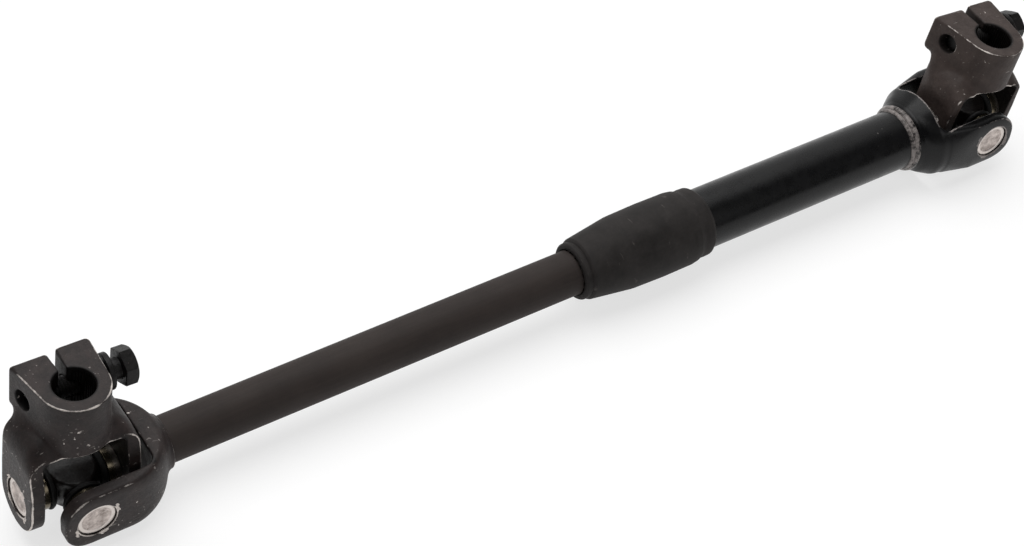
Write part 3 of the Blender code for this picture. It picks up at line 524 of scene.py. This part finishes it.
def spun(name, profile, matrix, steps=96, closed=False, radius_at=None, zone_at=None):
    """A solid turned about its Z axis from (radius, height) points, up its outside.

    A closed profile is a ring; otherwise its two ends lie on the axis. Its "zone" attribute is
    what zone_at gives for each point's radius and height.
    """
    angles = np.arange(steps) * 2 * math.pi / steps
    points, faces = [], []
    rows = []
    zones = []
    for r, z in profile:
        if r < 1e-6 and not closed:
            rows.append([len(points)])
            points.append((0, 0, z))
            zones.append(zone_at(r, z) if zone_at else 0.0)
            continue
        rows.append(list(range(len(points), len(points) + steps)))
        for a in angles:
            radius = radius_at(r, z, a) if radius_at else r
            points.append((radius * math.cos(a), radius * math.sin(a), z))
            zones.append(zone_at(r, z) if zone_at else 0.0)
    pairs = list(zip(rows, rows[1:])) + ([(rows[-1], rows[0])] if closed else [])
    for low, high in pairs:
        for i in range(steps):
            j = (i + 1) % steps
            if len(low) == 1:
                faces.append((low[0], high[j], high[i]))
            elif len(high) == 1:
                faces.append((low[i], low[j], high[0]))
            else:
                faces.append((low[i], low[j], high[j], high[i]))
    mesh = bpy.data.meshes.new(name)
    mesh.from_pydata(points, [], faces)
    mesh.transform(matrix)
    mesh.attributes.new("zone", "FLOAT", "POINT").data.foreach_set("value", zones)
    mesh.shade_smooth()
    mesh.set_sharp_from_angle(angle=math.radians(38))
    return bpy.data.objects.new(name, mesh)


# Forgings, in millimetres

CAP_BORE_R = 7.56
EAR_THICK = 5.2
BARREL_R = 13.1
CLAMP_BORE_R = 7.75
SLOT_HALF = 1.6
BOLT_REAR = 9.2
TAPPED_R = 4.06
CLEAR_R = 4.35
FORK_FACE = 21.2
FORK_INSIDE = 16.0
THROAT = 25.4
THROAT_R = 4.6
PUNCH_R = 0.62

# A yoke's ears' face and eye, its turned flank at eye and neck, the neck's reach to front and rear,
# the arch and its crown, the shoulder's rear and front (brow) radius, the left ear's extra, the
# hub's top, the two lugs' reach sideways and rearwards, the bolt's drop below the top, the slot's x
LOWER_YOKE = {
    "face": 21.2, "ear_r": 12.6, "turn": 24.6, "neck": 24.0, "neck_front": 10.2, "neck_rear": 12.5,
    "arch": 24.2, "crown": 1.2, "shoulder_r": 11.5, "brow_r": 6.0, "left": 0.0, "top": 48.9,
    "head": 14.2, "tapped": 16.5, "head_rear": 18.2, "tapped_rear": 17.4, "drop": 10.4,
    "slot": -0.5,
}
UPPER_YOKE = {
    "face": 20.6, "ear_r": 10.4, "turn": 21.3, "neck": 19.8, "neck_front": 10.8, "neck_rear": 13.6,
    "arch": 20.2, "crown": 2.2, "shoulder_r": 15.0, "brow_r": 9.0, "left": 0.8, "top": 42.4,
    "head": 15.2, "tapped": 17.3, "head_rear": 20.2, "tapped_rear": 19.3, "drop": 7.8,
    "slot": 0.0,
}


def eased(value, start, end):
    """0 before start, 1 after end, and a smooth rise between."""
    t = np.clip((value - start) / (end - start), 0, 1)
    return t * t * (3 - 2 * t)


def stakes(x, y, z, face, marks):
    """Punch marks that lock a cap in its bore, on both ears' faces; x is along the cap.

    Each mark is its angle in degrees, its distance from the cap's centre, its half length and
    its slant. The punch is round-nosed and its marks are never quite alike.
    """
    dents = 1e3
    depth = np.abs(x) - face - 0.2
    for degrees, out, half, slant in marks:
        angle = math.radians(degrees)
        outward = y * math.cos(angle) + z * math.sin(angle) - out
        along = -y * math.sin(angle) + z * math.cos(angle)
        past = np.maximum(np.abs(along + slant * outward) - half, 0)
        dents = np.minimum(dents, np.sqrt((1.3 * outward) ** 2 + past ** 2 + depth ** 2))
    return dents - PUNCH_R


FORK_MARKS = (
    (18, 8.3, 0.9, 0.5), (31, 9.0, 0.3, 0), (196, 8.3, 0.7, -0.4), (207, 8.9, 0.2, 0),
    (288, 8.3, 0.8, 0.3),
)
CLAMP_MARKS = (
    (38, 8.3, 0.8, 0.4), (128, 8.4, 0.6, 0), (214, 8.3, 0.9, -0.5), (226, 8.9, 0.3, 0),
    (318, 8.3, 0.5, 0),
)


def hub_plan(x, y, size):
    """The hub from above: a round barrel, and straight flanks out to the two lugs."""
    corners = (
        (-size["tapped"], size["tapped_rear"], 1),
        (size["head"], size["head_rear"], -1),
    )
    # Each flank runs from a lug's rear corner to where it touches the barrel
    flanks = []
    touches = []
    for px, py, turn in corners:
        angle = math.atan2(py, px) + turn * math.acos(BARREL_R / math.hypot(px, py))
        flanks.append(x * math.cos(angle) + y * math.sin(angle) - BARREL_R)
        touches.append(angle % (2 * math.pi))
    lean = (size["head_rear"] - size["tapped_rear"]) / (size["head"] + size["tapped"])
    rear = (y - size["tapped_rear"] - lean * (x + size["tapped"])) / math.hypot(1, lean)
    behind = np.maximum(meet(flanks[0], rear, 1.2), meet(flanks[1], rear, 1.8))
    angle = np.arctan2(y, x) % (2 * math.pi)
    in_front = (angle > touches[0]) & (angle < touches[1])
    return np.where(in_front, np.hypot(x, y) - BARREL_R, behind)


def clamp_yoke_field(size):
    """A clamp yoke in its own frame: two ears, an arch over the cross, and a split hub on top."""
    inside = size["face"] - EAR_THICK
    shoulder = size["arch"] + 7.0
    hole_z = size["top"] - size["drop"]

    def field(x, y, z):
        front = size["ear_r"] - (size["ear_r"] - size["neck_front"]) * eased(z, 8, size["arch"])
        rear = size["ear_r"] + (size["neck_rear"] - size["ear_r"]) * eased(z, 2, shoulder - 2)
        eye = np.hypot(y, z) - size["ear_r"]
        side = np.where(z < 0, eye, np.maximum(-y - front, y - rear))
        # The shoulder falls to the arch at the front, where the barrel runs down to its edge
        back = eased(y, -12.0, -3.0)
        top = size["arch"] + 0.5 + 6.5 * back
        fuller = np.where(x < 0, size["left"], 0)
        shoulder_r = size["brow_r"] + (size["shoulder_r"] - size["brow_r"]) * back - 3.0 * fuller
        body = meet(np.abs(x) - size["face"], z - top, shoulder_r)
        turned_r = np.interp(z, (8, shoulder), (size["turn"], size["neck"])) + fuller
        body = meet(meet(body, np.hypot(x, y) - turned_r, 0.8), side, 0.5)
        # The hub, its top edge softer at the tapped lug's rear, on a foot that rises at the lugs
        top_r = 0.5 + 1.6 * eased(y, 11, 17) * (x < 0)
        hub = meet(hub_plan(x, y, size), z - size["top"], top_r)
        lug_foot = np.where(y < 9, size["arch"], size["arch"] + 4.2) - z
        hub = meet(hub, lug_foot, 0.5 + 3.5 * eased(y, 9, 13))
        body = join(body, hub, 1.4 + 2.6 * eased(y, 0, 9))
        # The arch, the caps' bores, the clamp bore, the slot, the bolt's hole and the stake marks
        crown = size["arch"] + size["crown"] * np.clip(1 - (x / 11.0) ** 2, 0, 1)
        body = cut(body, meet(np.abs(x) - inside, z - crown, 3.2), 0.45)
        body = cut(body, np.hypot(y, z) - CAP_BORE_R, 0.25)
        body = cut(body, np.hypot(x, y) - CLAMP_BORE_R, 0.7)
        slot = np.maximum(np.abs(x - size["slot"]) - SLOT_HALF, -y)
        slot = np.maximum(slot, shoulder - 2.6 - z)
        body = cut(body, slot, 0.35 + 0.9 * eased(y, 9, 16))
        hole = np.hypot(y - BOLT_REAR, z - hole_z) - np.where(x < 0, TAPPED_R, CLEAR_R)
        body = cut(body, hole, 0.45)
        return cut(body, stakes(x, y, z, size["face"], CLAMP_MARKS), 0.1)

    return field


def clamp_painted_shade(size):
    """Painted shade on a clamp yoke: in its bore, its slot and its bolt hole, and between its ears."""
    inside = size["face"] - EAR_THICK
    arch = size["arch"]
    hole_z = size["top"] - size["drop"]

    def painted_shade(x, y, z):
        bore = 1 - eased(np.hypot(x, y), 8.0, 8.9)
        between = (1 - eased(np.abs(x), inside, inside + 0.4)) * (1 - eased(z, arch, arch + 0.4))
        slot = (1 - eased(np.abs(x - size["slot"]), 1.8, 2.6)) * eased(y, 5, 7)
        hole = 1 - eased(np.hypot(y - BOLT_REAR, z - hole_z), 4.1, 4.5)
        return np.maximum.reduce([0.9 * bore, 0.75 * between, 0.6 * slot, 0.85 * hole])

    return painted_shade


# Painted shade between a fork's arms, out to its throat
def fork_painted_shade(x, y, z):
    between = 1 - eased(np.abs(y), FORK_INSIDE, FORK_INSIDE + 0.5)
    return 0.75 * between * (1 - eased(x, THROAT, THROAT + 0.5))


# Painted shade at half strength all over the cross
def cross_painted_shade(x, y, z):
    return np.full_like(x, 0.5)


def stake_rub(along, face, marks):
    """Bare metal in and round the stake marks of the caps that lie along one axis."""
    def rub(*point):
        x = point[along]
        y, z = (point[0], point[2]) if along else (point[1], point[2])
        return 0.95 - 0.95 * eased(stakes(x, y, z, face, marks), 0.0, 0.5)

    return rub


def fork_openings(fork, x, y, z):
    """The throat between a fork's arms, and its caps' bores."""
    fork = cut(fork, meet(np.abs(y) - FORK_INSIDE, x - THROAT, THROAT_R), 0.8)
    return cut(fork, np.hypot(x, z) - CAP_BORE_R, 0.25)


def lower_fork_field(x, y, z):
    """The lower fork: two arms out of a domed base, with a collar round the shaft."""
    around = np.hypot(y, z)
    dome = np.where(x > 12.6, np.hypot(x - 12.6, around), around) - 24.4
    plan = meet(np.abs(y) - FORK_FACE, x - 35.5, 20.2)
    side = meet(np.abs(z) - 13.2, -x - 12.2, 11.0)
    fork = meet(meet(plan, side, 0.9), dome, 1.2)
    collar = meet(around - 10.7, np.abs(x - 30.8) - 5.2, 0.6)
    fork = fork_openings(join(fork, collar, 2.2), x, y, z)
    fork = cut(fork, around - 9.27, 0.3)
    return cut(fork, stakes(y, x, z, FORK_FACE, FORK_MARKS), 0.1)


def upper_fork_field(x, y, z):
    """The upper fork: two arms out of a cone, with a rim at the weld and a spigot in the tube."""
    around = np.hypot(y, z)
    plan = meet(np.abs(y) - FORK_FACE, x - 33.0, 13.0)
    side = meet(np.abs(z) - 12.2, -x - 11.1, 11.2)
    cone = 0.95 * (around - np.interp(x, (9.5, 21.9, 26.4, 32.0), (23.3, 20.5, 18.3, 14.7)))
    ears = meet(meet(plan, side, 0.9), cone, 1.4)
    base = meet(cone, np.abs(x - 29.0) - 4.0, 1.4)
    base = join(base, meet(around - 13.3, np.abs(x - 33.0) - 4.0, 0.4), 1.6)
    fork = join(meet(ears, x - 31.0, 1.0), base, 3.0)
    fork = fork_openings(fork, x, y, z)
    fork = cut(fork, meet(around - 12.6, 32.8 - x), 0.1)
    fork = join(fork, meet(around - 10.48, np.abs(x - 38.0) - 6.9, 0.5))
    return cut(fork, stakes(y, x, z, FORK_FACE, FORK_MARKS), 0.1)


def cross_field(x, y, z):
    """A cross: a short round body, and four journals on wider roots."""
    arms = ((np.abs(x), np.hypot(y, z)), (np.abs(y), np.hypot(x, z)))
    cross = meet(np.hypot(x, y) - 8.6, np.abs(z) - 6.7, 0.9)
    for along, around in arms:
        cross = join(cross, meet(around - 6.4, along - 8.6, 0.4), 1.6)
    for along, around in arms:
        cross = join(cross, meet(around - 4.2, along - 18.6, 0.6), 0.2)
    return cross


BOLT_R = 4.0
BOLT_LENGTH = 30.0
PITCH = 1.25
HEAD_HALF = 6.5
HEAD_HEIGHT = 5.3
COS_30 = 0.8660254


def bolt_field(seat):
    """An M8 bolt along X, its hexagon head standing on seat and its thread cut as a helix."""
    tip = seat - BOLT_LENGTH

    def field(x, y, z):
        around = np.hypot(y, z)
        flats = np.maximum(np.abs(y), np.abs(0.5 * y + COS_30 * z))
        flats = np.maximum(flats, np.abs(0.5 * y - COS_30 * z)) - HEAD_HALF
        head = meet(flats, np.abs(x - seat - HEAD_HEIGHT / 2) - HEAD_HEIGHT / 2, 0.25)
        top = (x - seat - HEAD_HEIGHT) * 0.866 + (around - 6.2) * 0.5
        head = meet(head, top, 0.2)
        turn = (x / PITCH - np.arctan2(z, y) / (2 * math.pi)) % 1.0
        groove = 0.62 * np.abs(1 - 2 * np.abs(turn - 0.5)) * np.clip((seat - 6.0 - x) / 1.5, 0, 1)
        shank = (around - BOLT_R + groove) * 0.8
        shank = np.maximum(shank, np.maximum(tip - x, x - seat - 1))
        shank = meet(shank, (tip - x) * 0.7 + (around - 3.2) * 0.7, 0.1)
        return join(head, shank, 0.3)

    return field


STEP = 0.4
for side, size, matrix, material, slot in (
    ("lower", LOWER_YOKE, LOWER_CLAMP, OILED_FORGING, "dark_forging"),
    ("upper", UPPER_YOKE, UPPER_CLAMP, PHOSPHATE_FORGING, "warm_phosphate"),
):
    yoke = skin(side + "_clamp_forging", clamp_yoke_field(size), (-22.5, -15.0, -size["ear_r"] - 1),
                (22.5, 22.0, size["top"] + 1), STEP, matrix, clamp_painted_shade(size),
                stake_rub(0, size["face"], CLAMP_MARKS))
    file_piece(yoke, material, side + "_clamp", slot, [side + "_clamp_yoke"])

fork = skin("lower_fork_forging", lower_fork_field, (-13.5, -22.5, -14.5), (37, 22.5, 14.5), STEP,
            LOWER_FORK, fork_painted_shade, stake_rub(1, FORK_FACE, FORK_MARKS))
file_piece(fork, OILED_FORGING, "shaft", "dark_forging", ["lower_fork"])
fork = skin("upper_fork_forging", upper_fork_field, (-13, -22.5, -19.5), (46, 22.5, 19.5), STEP,
            UPPER_FORK, fork_painted_shade, stake_rub(1, FORK_FACE, FORK_MARKS))
file_piece(fork, BLACK_ENAMEL, "tube", "gloss_black", ["upper_fork"])

for side, matrix in (("lower", LOWER_CROSS), ("upper", UPPER_CROSS)):
    cross = skin(side + "_cross_forging", cross_field, (-19.5, -19.5, -8), (19.5, 19.5, 8), 0.35,
                 matrix, cross_painted_shade)
    file_piece(cross, CROSS_STEEL, side + "_cross_body", "cross_steel", [side + "_cross"])

WASHER_THICK = 2.1
SEAT_GAP = 0.3
for side, size, matrix, out in (
    ("lower", LOWER_YOKE, LOWER_CLAMP, 4.8),
    ("upper", UPPER_YOKE, UPPER_CLAMP, 0.0),
):
    seat = size["head"] + WASHER_THICK + 2 * SEAT_GAP + out
    line = matrix @ Matrix.Translation((0, BOLT_REAR, size["top"] - size["drop"]))
    bolt = skin(side + "_bolt_body", bolt_field(seat), (seat - 31, -8, -8), (seat + 6, 8, 8), 0.25,
                line)
    file_piece(bolt, BLACK_BOLT, side + "_bolt", "black_bolt", [side + "_pinch_bolt"])


# Turned parts: each profile's points are its radius, its height and its corner's radius

AXIS_TO = {
    "fork_front": Matrix.Rotation(math.radians(90), 4, "X"),
    "fork_rear": Matrix.Rotation(math.radians(-90), 4, "X"),
    "clamp_left": Matrix.Rotation(math.radians(-90), 4, "Y"),
    "clamp_right": Matrix.Rotation(math.radians(90), 4, "Y"),
}
CAP_PROFILE = softened([
    (0, 19.8, 0), (3.0, 19.84, 1), (5.3, 19.95, 0.6), (6.0, 20.38, 0.3), (7.0, 20.4, 0.3),
    (7.35, 20.25, 0.2), (7.5, 19.9, 0.2), (7.5, 11.6, 0.2), (7.3, 11.4, 0.1), (6.85, 11.4, 0.1),
    (6.85, 18.9, 0.2), (0, 18.9, 0),
])
SEAL_PROFILE = softened([
    (4.28, 8.9, 0), (7.3, 8.9, 0.4), (7.7, 9.3, 0.4), (8.2, 10.2, 0.5), (8.15, 10.8, 0.4),
    (7.7, 11.1, 0.3), (7.3, 10.7, 0.3), (4.28, 10.7, 0),
])


def cap_zone(r, z):
    """0 on a cap's end face, 0.5 on its rim, and 1 on its skirt and inside."""
    if z < 19.6:
        return 1.0
    return 0.5 if r > 5.8 else 0.0


for side, fork_body, clamp, cross, fork in (
    ("lower", "shaft", LOWER_CLAMP, LOWER_CROSS, LOWER_FORK),
    ("upper", "tube", UPPER_CLAMP, UPPER_CROSS, UPPER_FORK @ Matrix.Rotation(math.pi, 4, "Z")),
):
    for label, turn in AXIS_TO.items():
        if label.startswith("fork"):
            holder, body = fork, fork_body
        else:
            holder, body = clamp, side + "_clamp"
        cap = spun(f"{side}_{label}_cup", CAP_PROFILE[::-1], holder @ turn, 72, zone_at=cap_zone)
        file_piece(cap, DRAWN_CAP, body, "drawn_steel", [f"{side}_cap_{label}"])
        seal = spun(f"{side}_{label}_lip_seal", SEAL_PROFILE, cross @ turn, 64, closed=True)
        file_piece(seal, SEAL_RUBBER, side + "_cross_body", "seal_rubber", [f"{side}_seal_{label}"])

SHAFT_R = 9.2
SPLINE_START = 214.6
SPLINE_R = 9.12
TOOTH_DEPTH = 1.1


def splined_radius(r, z, a):
    """Sixteen teeth on the shaft's inner end."""
    if z < SPLINE_START or r < 4:
        return r
    wave = math.cos(16 * a)
    return r - TOOTH_DEPTH * (1 - min(max(0.5 + 1.6 * wave, 0), 1))


SHAFT_PROFILE = softened([
    (0, 26.0, 0), (8.0, 26.0, 0), (SHAFT_R, 27.2, 0), (SHAFT_R, 214.5, 0),
    (SPLINE_R, SPLINE_START, 0), (SPLINE_R, 311.4, 0), (8.5, 312.0, 0), (0, 312.0, 0),
])
shaft = spun("inner_shaft_bar", SHAFT_PROFILE, SHAFT_LINE, 160, radius_at=splined_radius)
file_piece(shaft, PHOSPHATED_BAR, "shaft", "phosphated_steel", ["inner_shaft"])

TUBE_PROFILE = softened([
    (12.0, 382.2, 0), (12.55, 381.6, 0.3), (12.55, 236.6, 0.3), (12.0, 236.0, 0.3),
    (11.0, 236.0, 0.3), (10.55, 236.5, 0.3), (10.55, 382.2, 0),
])
tube = spun("outer_tube_body", TUBE_PROFILE[::-1], SHAFT_LINE, 128, closed=True)
file_piece(tube, BLACK_ENAMEL, "tube", "gloss_black", ["outer_tube"])

BOOT_LIP = [
    (9.35, 215.0, 0.2), (9.9, 214.6, 0.3), (11.1, 214.6, 0.7), (11.75, 215.4, 0.6),
    (11.85, 216.8, 0.5), (11.45, 217.5, 0.3), (12.1, 217.9, 0.4), (12.75, 218.6, 0.8),
]
BOOT_CONE = [(15.3, 237.5, 22), (15.65, 252.0, 30), (15.5, 265.6, 2), (15.1, 268.2, 0.5)]
BOOT_BAND = [
    (14.55, 269.6, 0.5), (14.4, 270.6, 0.4), (14.5, 272.4, 0.5), (14.4, 274.6, 0.6),
    (13.2, 276.2, 0.5), (12.65, 276.4, 0.2),
]
BOOT_INSIDE = [(12.65, 266.0, 0), (12.65, 232.0, 0.5), (9.6, 218.6, 0.5), (9.6, 217.0, 0)]
boot_profile = softened(BOOT_LIP + BOOT_CONE + BOOT_BAND + BOOT_INSIDE, 5)
boot = spun("rubber_boot", boot_profile, SHAFT_LINE, 128, closed=True)
file_piece(boot, BOOT_RUBBER, "tube", "boot_rubber", ["boot"])


# What stays as the CAD made it gets its finish

CAD_FINISHES = {"guide_bush": NYLON, "splined_sleeve": BEARING_STEEL}
for name, node in frame["nodes"].items():
    material = BEARING_STEEL if "needles" in name else CAD_FINISHES.get(name)
    if material:
        node.data.materials.clear()
        node.data.materials.append(material)


# What repeats or follows a path, by Geometry Nodes

def new_tree(name, inputs):
    """A node group with named inputs and a geometry output, and its inputs' sockets."""
    tree = bpy.data.node_groups.new(name, "GeometryNodeTree")
    tree.interface.new_socket(name="Geometry", in_out="OUTPUT", socket_type="NodeSocketGeometry")
    for label, kind in inputs:
        tree.interface.new_socket(name=label, in_out="INPUT", socket_type=kind)
    return tree, tree.nodes.new("NodeGroupInput").outputs


def close_tree(tree, geometry, material):
    """Turns the instances into a plain mesh, sets its material and ends the tree."""
    real = add(tree, "GeometryNodeRealizeInstances", {"Geometry": geometry})
    finish = add(tree, "GeometryNodeSetMaterial", {"Geometry": real.outputs[0], "Material": material})
    out = tree.nodes.new("NodeGroupOutput")
    tree.links.new(finish.outputs[0], out.inputs[0])


def grown(name, tree, values, matrix, material, worn=0.0):
    """The plain mesh that a tree makes from its named inputs, placed in the world.

    worn is its "edge" attribute, the same all over.
    """
    obj = bpy.data.objects.new(name, bpy.data.meshes.new(name))
    bpy.context.scene.collection.objects.link(obj)
    modifier = obj.modifiers.new("Nodes", "NODES")
    modifier.node_group = tree
    for item in tree.interface.items_tree:
        if item.item_type == "SOCKET" and item.in_out == "INPUT":
            value = material if item.name == "Material" else values[item.name]
            modifier[item.identifier] = value
    bpy.context.view_layer.update()
    graph = bpy.context.evaluated_depsgraph_get()
    mesh = bpy.data.meshes.new_from_object(obj.evaluated_get(graph))
    bpy.data.objects.remove(obj)
    mesh.name = name
    mesh.transform(matrix)
    edge = mesh.attributes.new("edge", "FLOAT", "POINT")
    edge.data.foreach_set("value", [worn] * len(mesh.vertices))
    mesh.shade_smooth()
    mesh.set_sharp_from_angle(angle=math.radians(40))
    return bpy.data.objects.new(name, mesh)


# Spring washer: one turn of a square wire, its ends a little apart
coil_tree, given = new_tree("coiled_wire", [
    ("Radius", "NodeSocketFloat"), ("Rise", "NodeSocketFloat"), ("Width", "NodeSocketFloat"),
    ("Height", "NodeSocketFloat"), ("Turns", "NodeSocketFloat"), ("Material", "NodeSocketMaterial"),
])
coil = add(coil_tree, "GeometryNodeCurveSpiral", {
    "Resolution": 72, "Rotations": given["Turns"], "Start Radius": given["Radius"],
    "End Radius": given["Radius"], "Height": given["Rise"],
})
wire = add(coil_tree, "GeometryNodeCurvePrimitiveQuadrilateral", {
    "Width": given["Width"], "Height": given["Height"]})
soft_wire = add(coil_tree, "GeometryNodeFilletCurve", {
    "Curve": wire.outputs[0], "Radius": 0.18, "Count": 2}, mode="POLY")
upright = add(coil_tree, "GeometryNodeSetCurveNormal", {"Curve": coil.outputs[0]}, mode="Z_UP")
coil_mesh = add(coil_tree, "GeometryNodeCurveToMesh", {
    "Curve": upright.outputs[0], "Profile Curve": soft_wire.outputs[0], "Fill Caps": True,
})
close_tree(coil_tree, coil_mesh.outputs[0], given["Material"])
for side, size, matrix, out, rise in (
    ("lower", LOWER_YOKE, LOWER_CLAMP, 1.1, 0.8),
    ("upper", UPPER_YOKE, UPPER_CLAMP, 0.0, 0.0),
):
    middle = size["head"] + SEAT_GAP + out + WASHER_THICK / 2
    line = matrix @ Matrix.Translation((middle, BOLT_REAR, size["top"] - size["drop"]))
    line = line @ Matrix.Rotation(math.radians(90), 4, "Y")
    washer = grown(side + "_spring_washer", coil_tree, {
        "Radius": 5.68, "Rise": rise, "Width": 2.64, "Height": WASHER_THICK, "Turns": 0.965,
    }, line, BLACK_BOLT)
    file_piece(washer, BLACK_BOLT, side + "_washer", "black_bolt", [side + "_lock_washer"])

# Weld bead round the tube: a wire laid round it, swelling with each pulse of the arc
bead_tree, given = new_tree("weld_bead", [
    ("Radius", "NodeSocketFloat"), ("Thickness", "NodeSocketFloat"), ("Pulses", "NodeSocketInt"),
    ("Unevenness", "NodeSocketFloat"), ("Seed", "NodeSocketInt"), ("Material", "NodeSocketMaterial"),
])
path = add(bead_tree, "GeometryNodeCurvePrimitiveCircle", {"Resolution": 480, "Radius": given["Radius"]})
along = add(bead_tree, "GeometryNodeSplineParameter")
turns = add(bead_tree, "ShaderNodeMath", {0: along.outputs["Factor"], 1: given["Pulses"]},
            operation="MULTIPLY")
pulse = add(bead_tree, "ShaderNodeMath", {0: turns.outputs[0]}, operation="FRACT")
place = add(bead_tree, "GeometryNodeInputPosition")
uneven = add(bead_tree, "ShaderNodeTexNoise", {
    "Vector": place.outputs[0], "W": given["Seed"], "Scale": 0.8, "Detail": 3.0}, noise_dimensions="4D")
swell = add(bead_tree, "ShaderNodeMath", {0: pulse.outputs[0], 1: 0.26, 2: 0.6}, operation="MULTIPLY_ADD")
rough_swell = add(bead_tree, "ShaderNodeMath", {
    0: uneven.outputs["Fac"], 1: given["Unevenness"], 2: swell.outputs[0]}, operation="MULTIPLY_ADD")
thick = add(bead_tree, "GeometryNodeSetCurveRadius", {
    "Curve": path.outputs[0], "Radius": rough_swell.outputs[0]})
section = add(bead_tree, "GeometryNodeCurvePrimitiveCircle", {
    "Resolution": 14, "Radius": given["Thickness"]})
bead_mesh = add(bead_tree, "GeometryNodeCurveToMesh", {
    "Curve": thick.outputs[0], "Profile Curve": section.outputs[0]})
close_tree(bead_tree, bead_mesh.outputs[0], given["Material"])
for name, station, radius, thickness, seed in (
    ("upper_weld_bead", 34.5, 12.9, 1.5, 3),
    ("upper_weld_cap_run", 36.5, 12.3, 1.05, 8),
):
    line = UPPER_LINE @ Matrix.Translation((0, 0, station))
    bead = grown(name, bead_tree, {
        "Radius": radius, "Thickness": thickness, "Pulses": 46, "Unevenness": 0.7, "Seed": seed,
    }, line, BLACK_ENAMEL, worn=0.6)
    file_piece(bead, BLACK_ENAMEL, "tube", "gloss_black", [])

# Serrations in the clamp bores: straight ribs side by side round the bore, left out at the slot
rib_tree, given = new_tree("bore_serrations", [
    ("Radius", "NodeSocketFloat"), ("Count", "NodeSocketInt"), ("Length", "NodeSocketFloat"),
    ("Width", "NodeSocketFloat"), ("Gap", "NodeSocketFloat"), ("Material", "NodeSocketMaterial"),
])
ring = add(rib_tree, "GeometryNodeCurvePrimitiveCircle", {
    "Resolution": given["Count"], "Radius": given["Radius"]})
spot = add(rib_tree, "GeometryNodeInputPosition")
axis_split = add(rib_tree, "ShaderNodeSeparateXYZ", {0: spot.outputs[0]})
beside = add(rib_tree, "ShaderNodeMath", {0: axis_split.outputs["X"]}, operation="ABSOLUTE")
near_slot = add(rib_tree, "ShaderNodeMath", {0: beside.outputs[0], 1: given["Gap"]},
                operation="LESS_THAN")
behind = add(rib_tree, "ShaderNodeMath", {0: axis_split.outputs["Y"], 1: 0.0}, operation="GREATER_THAN")
in_slot = add(rib_tree, "ShaderNodeMath", {0: near_slot.outputs[0], 1: behind.outputs[0]},
              operation="MULTIPLY")
kept = add(rib_tree, "ShaderNodeMath", {0: 1.0, 1: in_slot.outputs[0]}, operation="SUBTRACT")
rib = add(rib_tree, "GeometryNodeMeshCylinder", {
    "Vertices": 4, "Radius": given["Width"], "Depth": given["Length"]}, fill_type="NGON")
points = add(rib_tree, "GeometryNodeCurveToPoints", {"Curve": ring.outputs[0]}, mode="EVALUATED")
ribs = add(rib_tree, "GeometryNodeInstanceOnPoints", {
    "Points": points.outputs["Points"], "Selection": kept.outputs[0],
    "Instance": rib.outputs["Mesh"], "Rotation": points.outputs["Rotation"],
})
turned_up = add(rib_tree, "GeometryNodeRotateInstances", {
    "Instances": ribs.outputs[0], "Rotation": (math.radians(90), 0, 0), "Local Space": True,
})
close_tree(rib_tree, turned_up.outputs[0], given["Material"])
for side, size, matrix, slot in (
    ("lower", LOWER_YOKE, LOWER_CLAMP, "dark_forging"),
    ("upper", UPPER_YOKE, UPPER_CLAMP, "warm_phosphate"),
):
    length = size["top"] - size["arch"] - 1.6
    line = matrix @ Matrix.Translation((0, 0, size["arch"] + 0.3 + length / 2))
    ribs_piece = grown(side + "_bore_serrations", rib_tree, {
        "Radius": 7.92, "Count": 48, "Length": length, "Width": 0.46, "Gap": 2.4,
    }, line, SHADED_BORE_STEEL)
    file_piece(ribs_piece, SHADED_BORE_STEEL, side + "_clamp", slot, [])


# Floor and light

floor_mesh = bpy.data.meshes.new("studio_floor")
floor_mesh.from_pydata([(-4, -4, 0), (4, -4, 0), (4, 4, 0), (-4, 4, 0)], [], [(0, 1, 2, 3)])
floor_mesh.transform(Matrix.Translation((0, 0, -0.0004)))
floor = bpy.data.objects.new("studio_floor", floor_mesh)
bpy.context.scene.collection.objects.link(floor)
table, tree, shader = new_finish("lit_white_acrylic_table")
fill(tree, shader, {
    "Base Color": (0.35, 0.35, 0.35, 1), "Roughness": 0.9, "Specular IOR Level": 0.0,
    "Emission Color": (1, 1, 1, 1), "Emission Strength": 0.68,
})
floor_mesh.materials.append(table)

# World: bright overhead and behind, dim towards the front and the left, as between black flags
world = bpy.data.worlds.new("soft_studio")
bpy.context.scene.world = world
world.use_nodes = True
tree = world.node_tree
direction = add(tree, "ShaderNodeTexCoord").outputs["Generated"]
parts = add(tree, "ShaderNodeSeparateXYZ", {0: direction})
level = add(tree, "ShaderNodeMapRange", {
    "Value": parts.outputs["Y"], "From Min": -0.35, "From Max": 0.4, "To Min": 0.1, "To Max": 0.9,
}, interpolation_type="SMOOTHSTEP")
left_flag = add(tree, "ShaderNodeMapRange", {
    "Value": parts.outputs["X"], "From Min": -0.8, "From Max": 0.1, "To Min": 0.3, "To Max": 1.0,
}, interpolation_type="SMOOTHSTEP")
strength = add(tree, "ShaderNodeMath", {0: level.outputs[0], 1: left_flag.outputs[0]},
               operation="MULTIPLY")
fill(tree, tree.nodes["Background"], {"Color": (1, 1, 1, 1), "Strength": strength.outputs[0]})

for name, place, size, power in (
    ("top_softbox", (0.0, 0.5, 1.6), 1.6, 22),
    ("front_softbox", (0.3, -1.5, 1.1), 1.2, 5),
):
    lamp = bpy.data.lights.new(name, "AREA")
    lamp.shape = "SQUARE"
    lamp.size = size
    lamp.energy = power
    obj = bpy.data.objects.new(name, lamp)
    obj.location = place
    obj.rotation_euler = (Vector((0, 0, 0.02)) - Vector(place)).to_track_quat("-Z", "Y").to_euler()
    bpy.context.scene.collection.objects.link(obj)
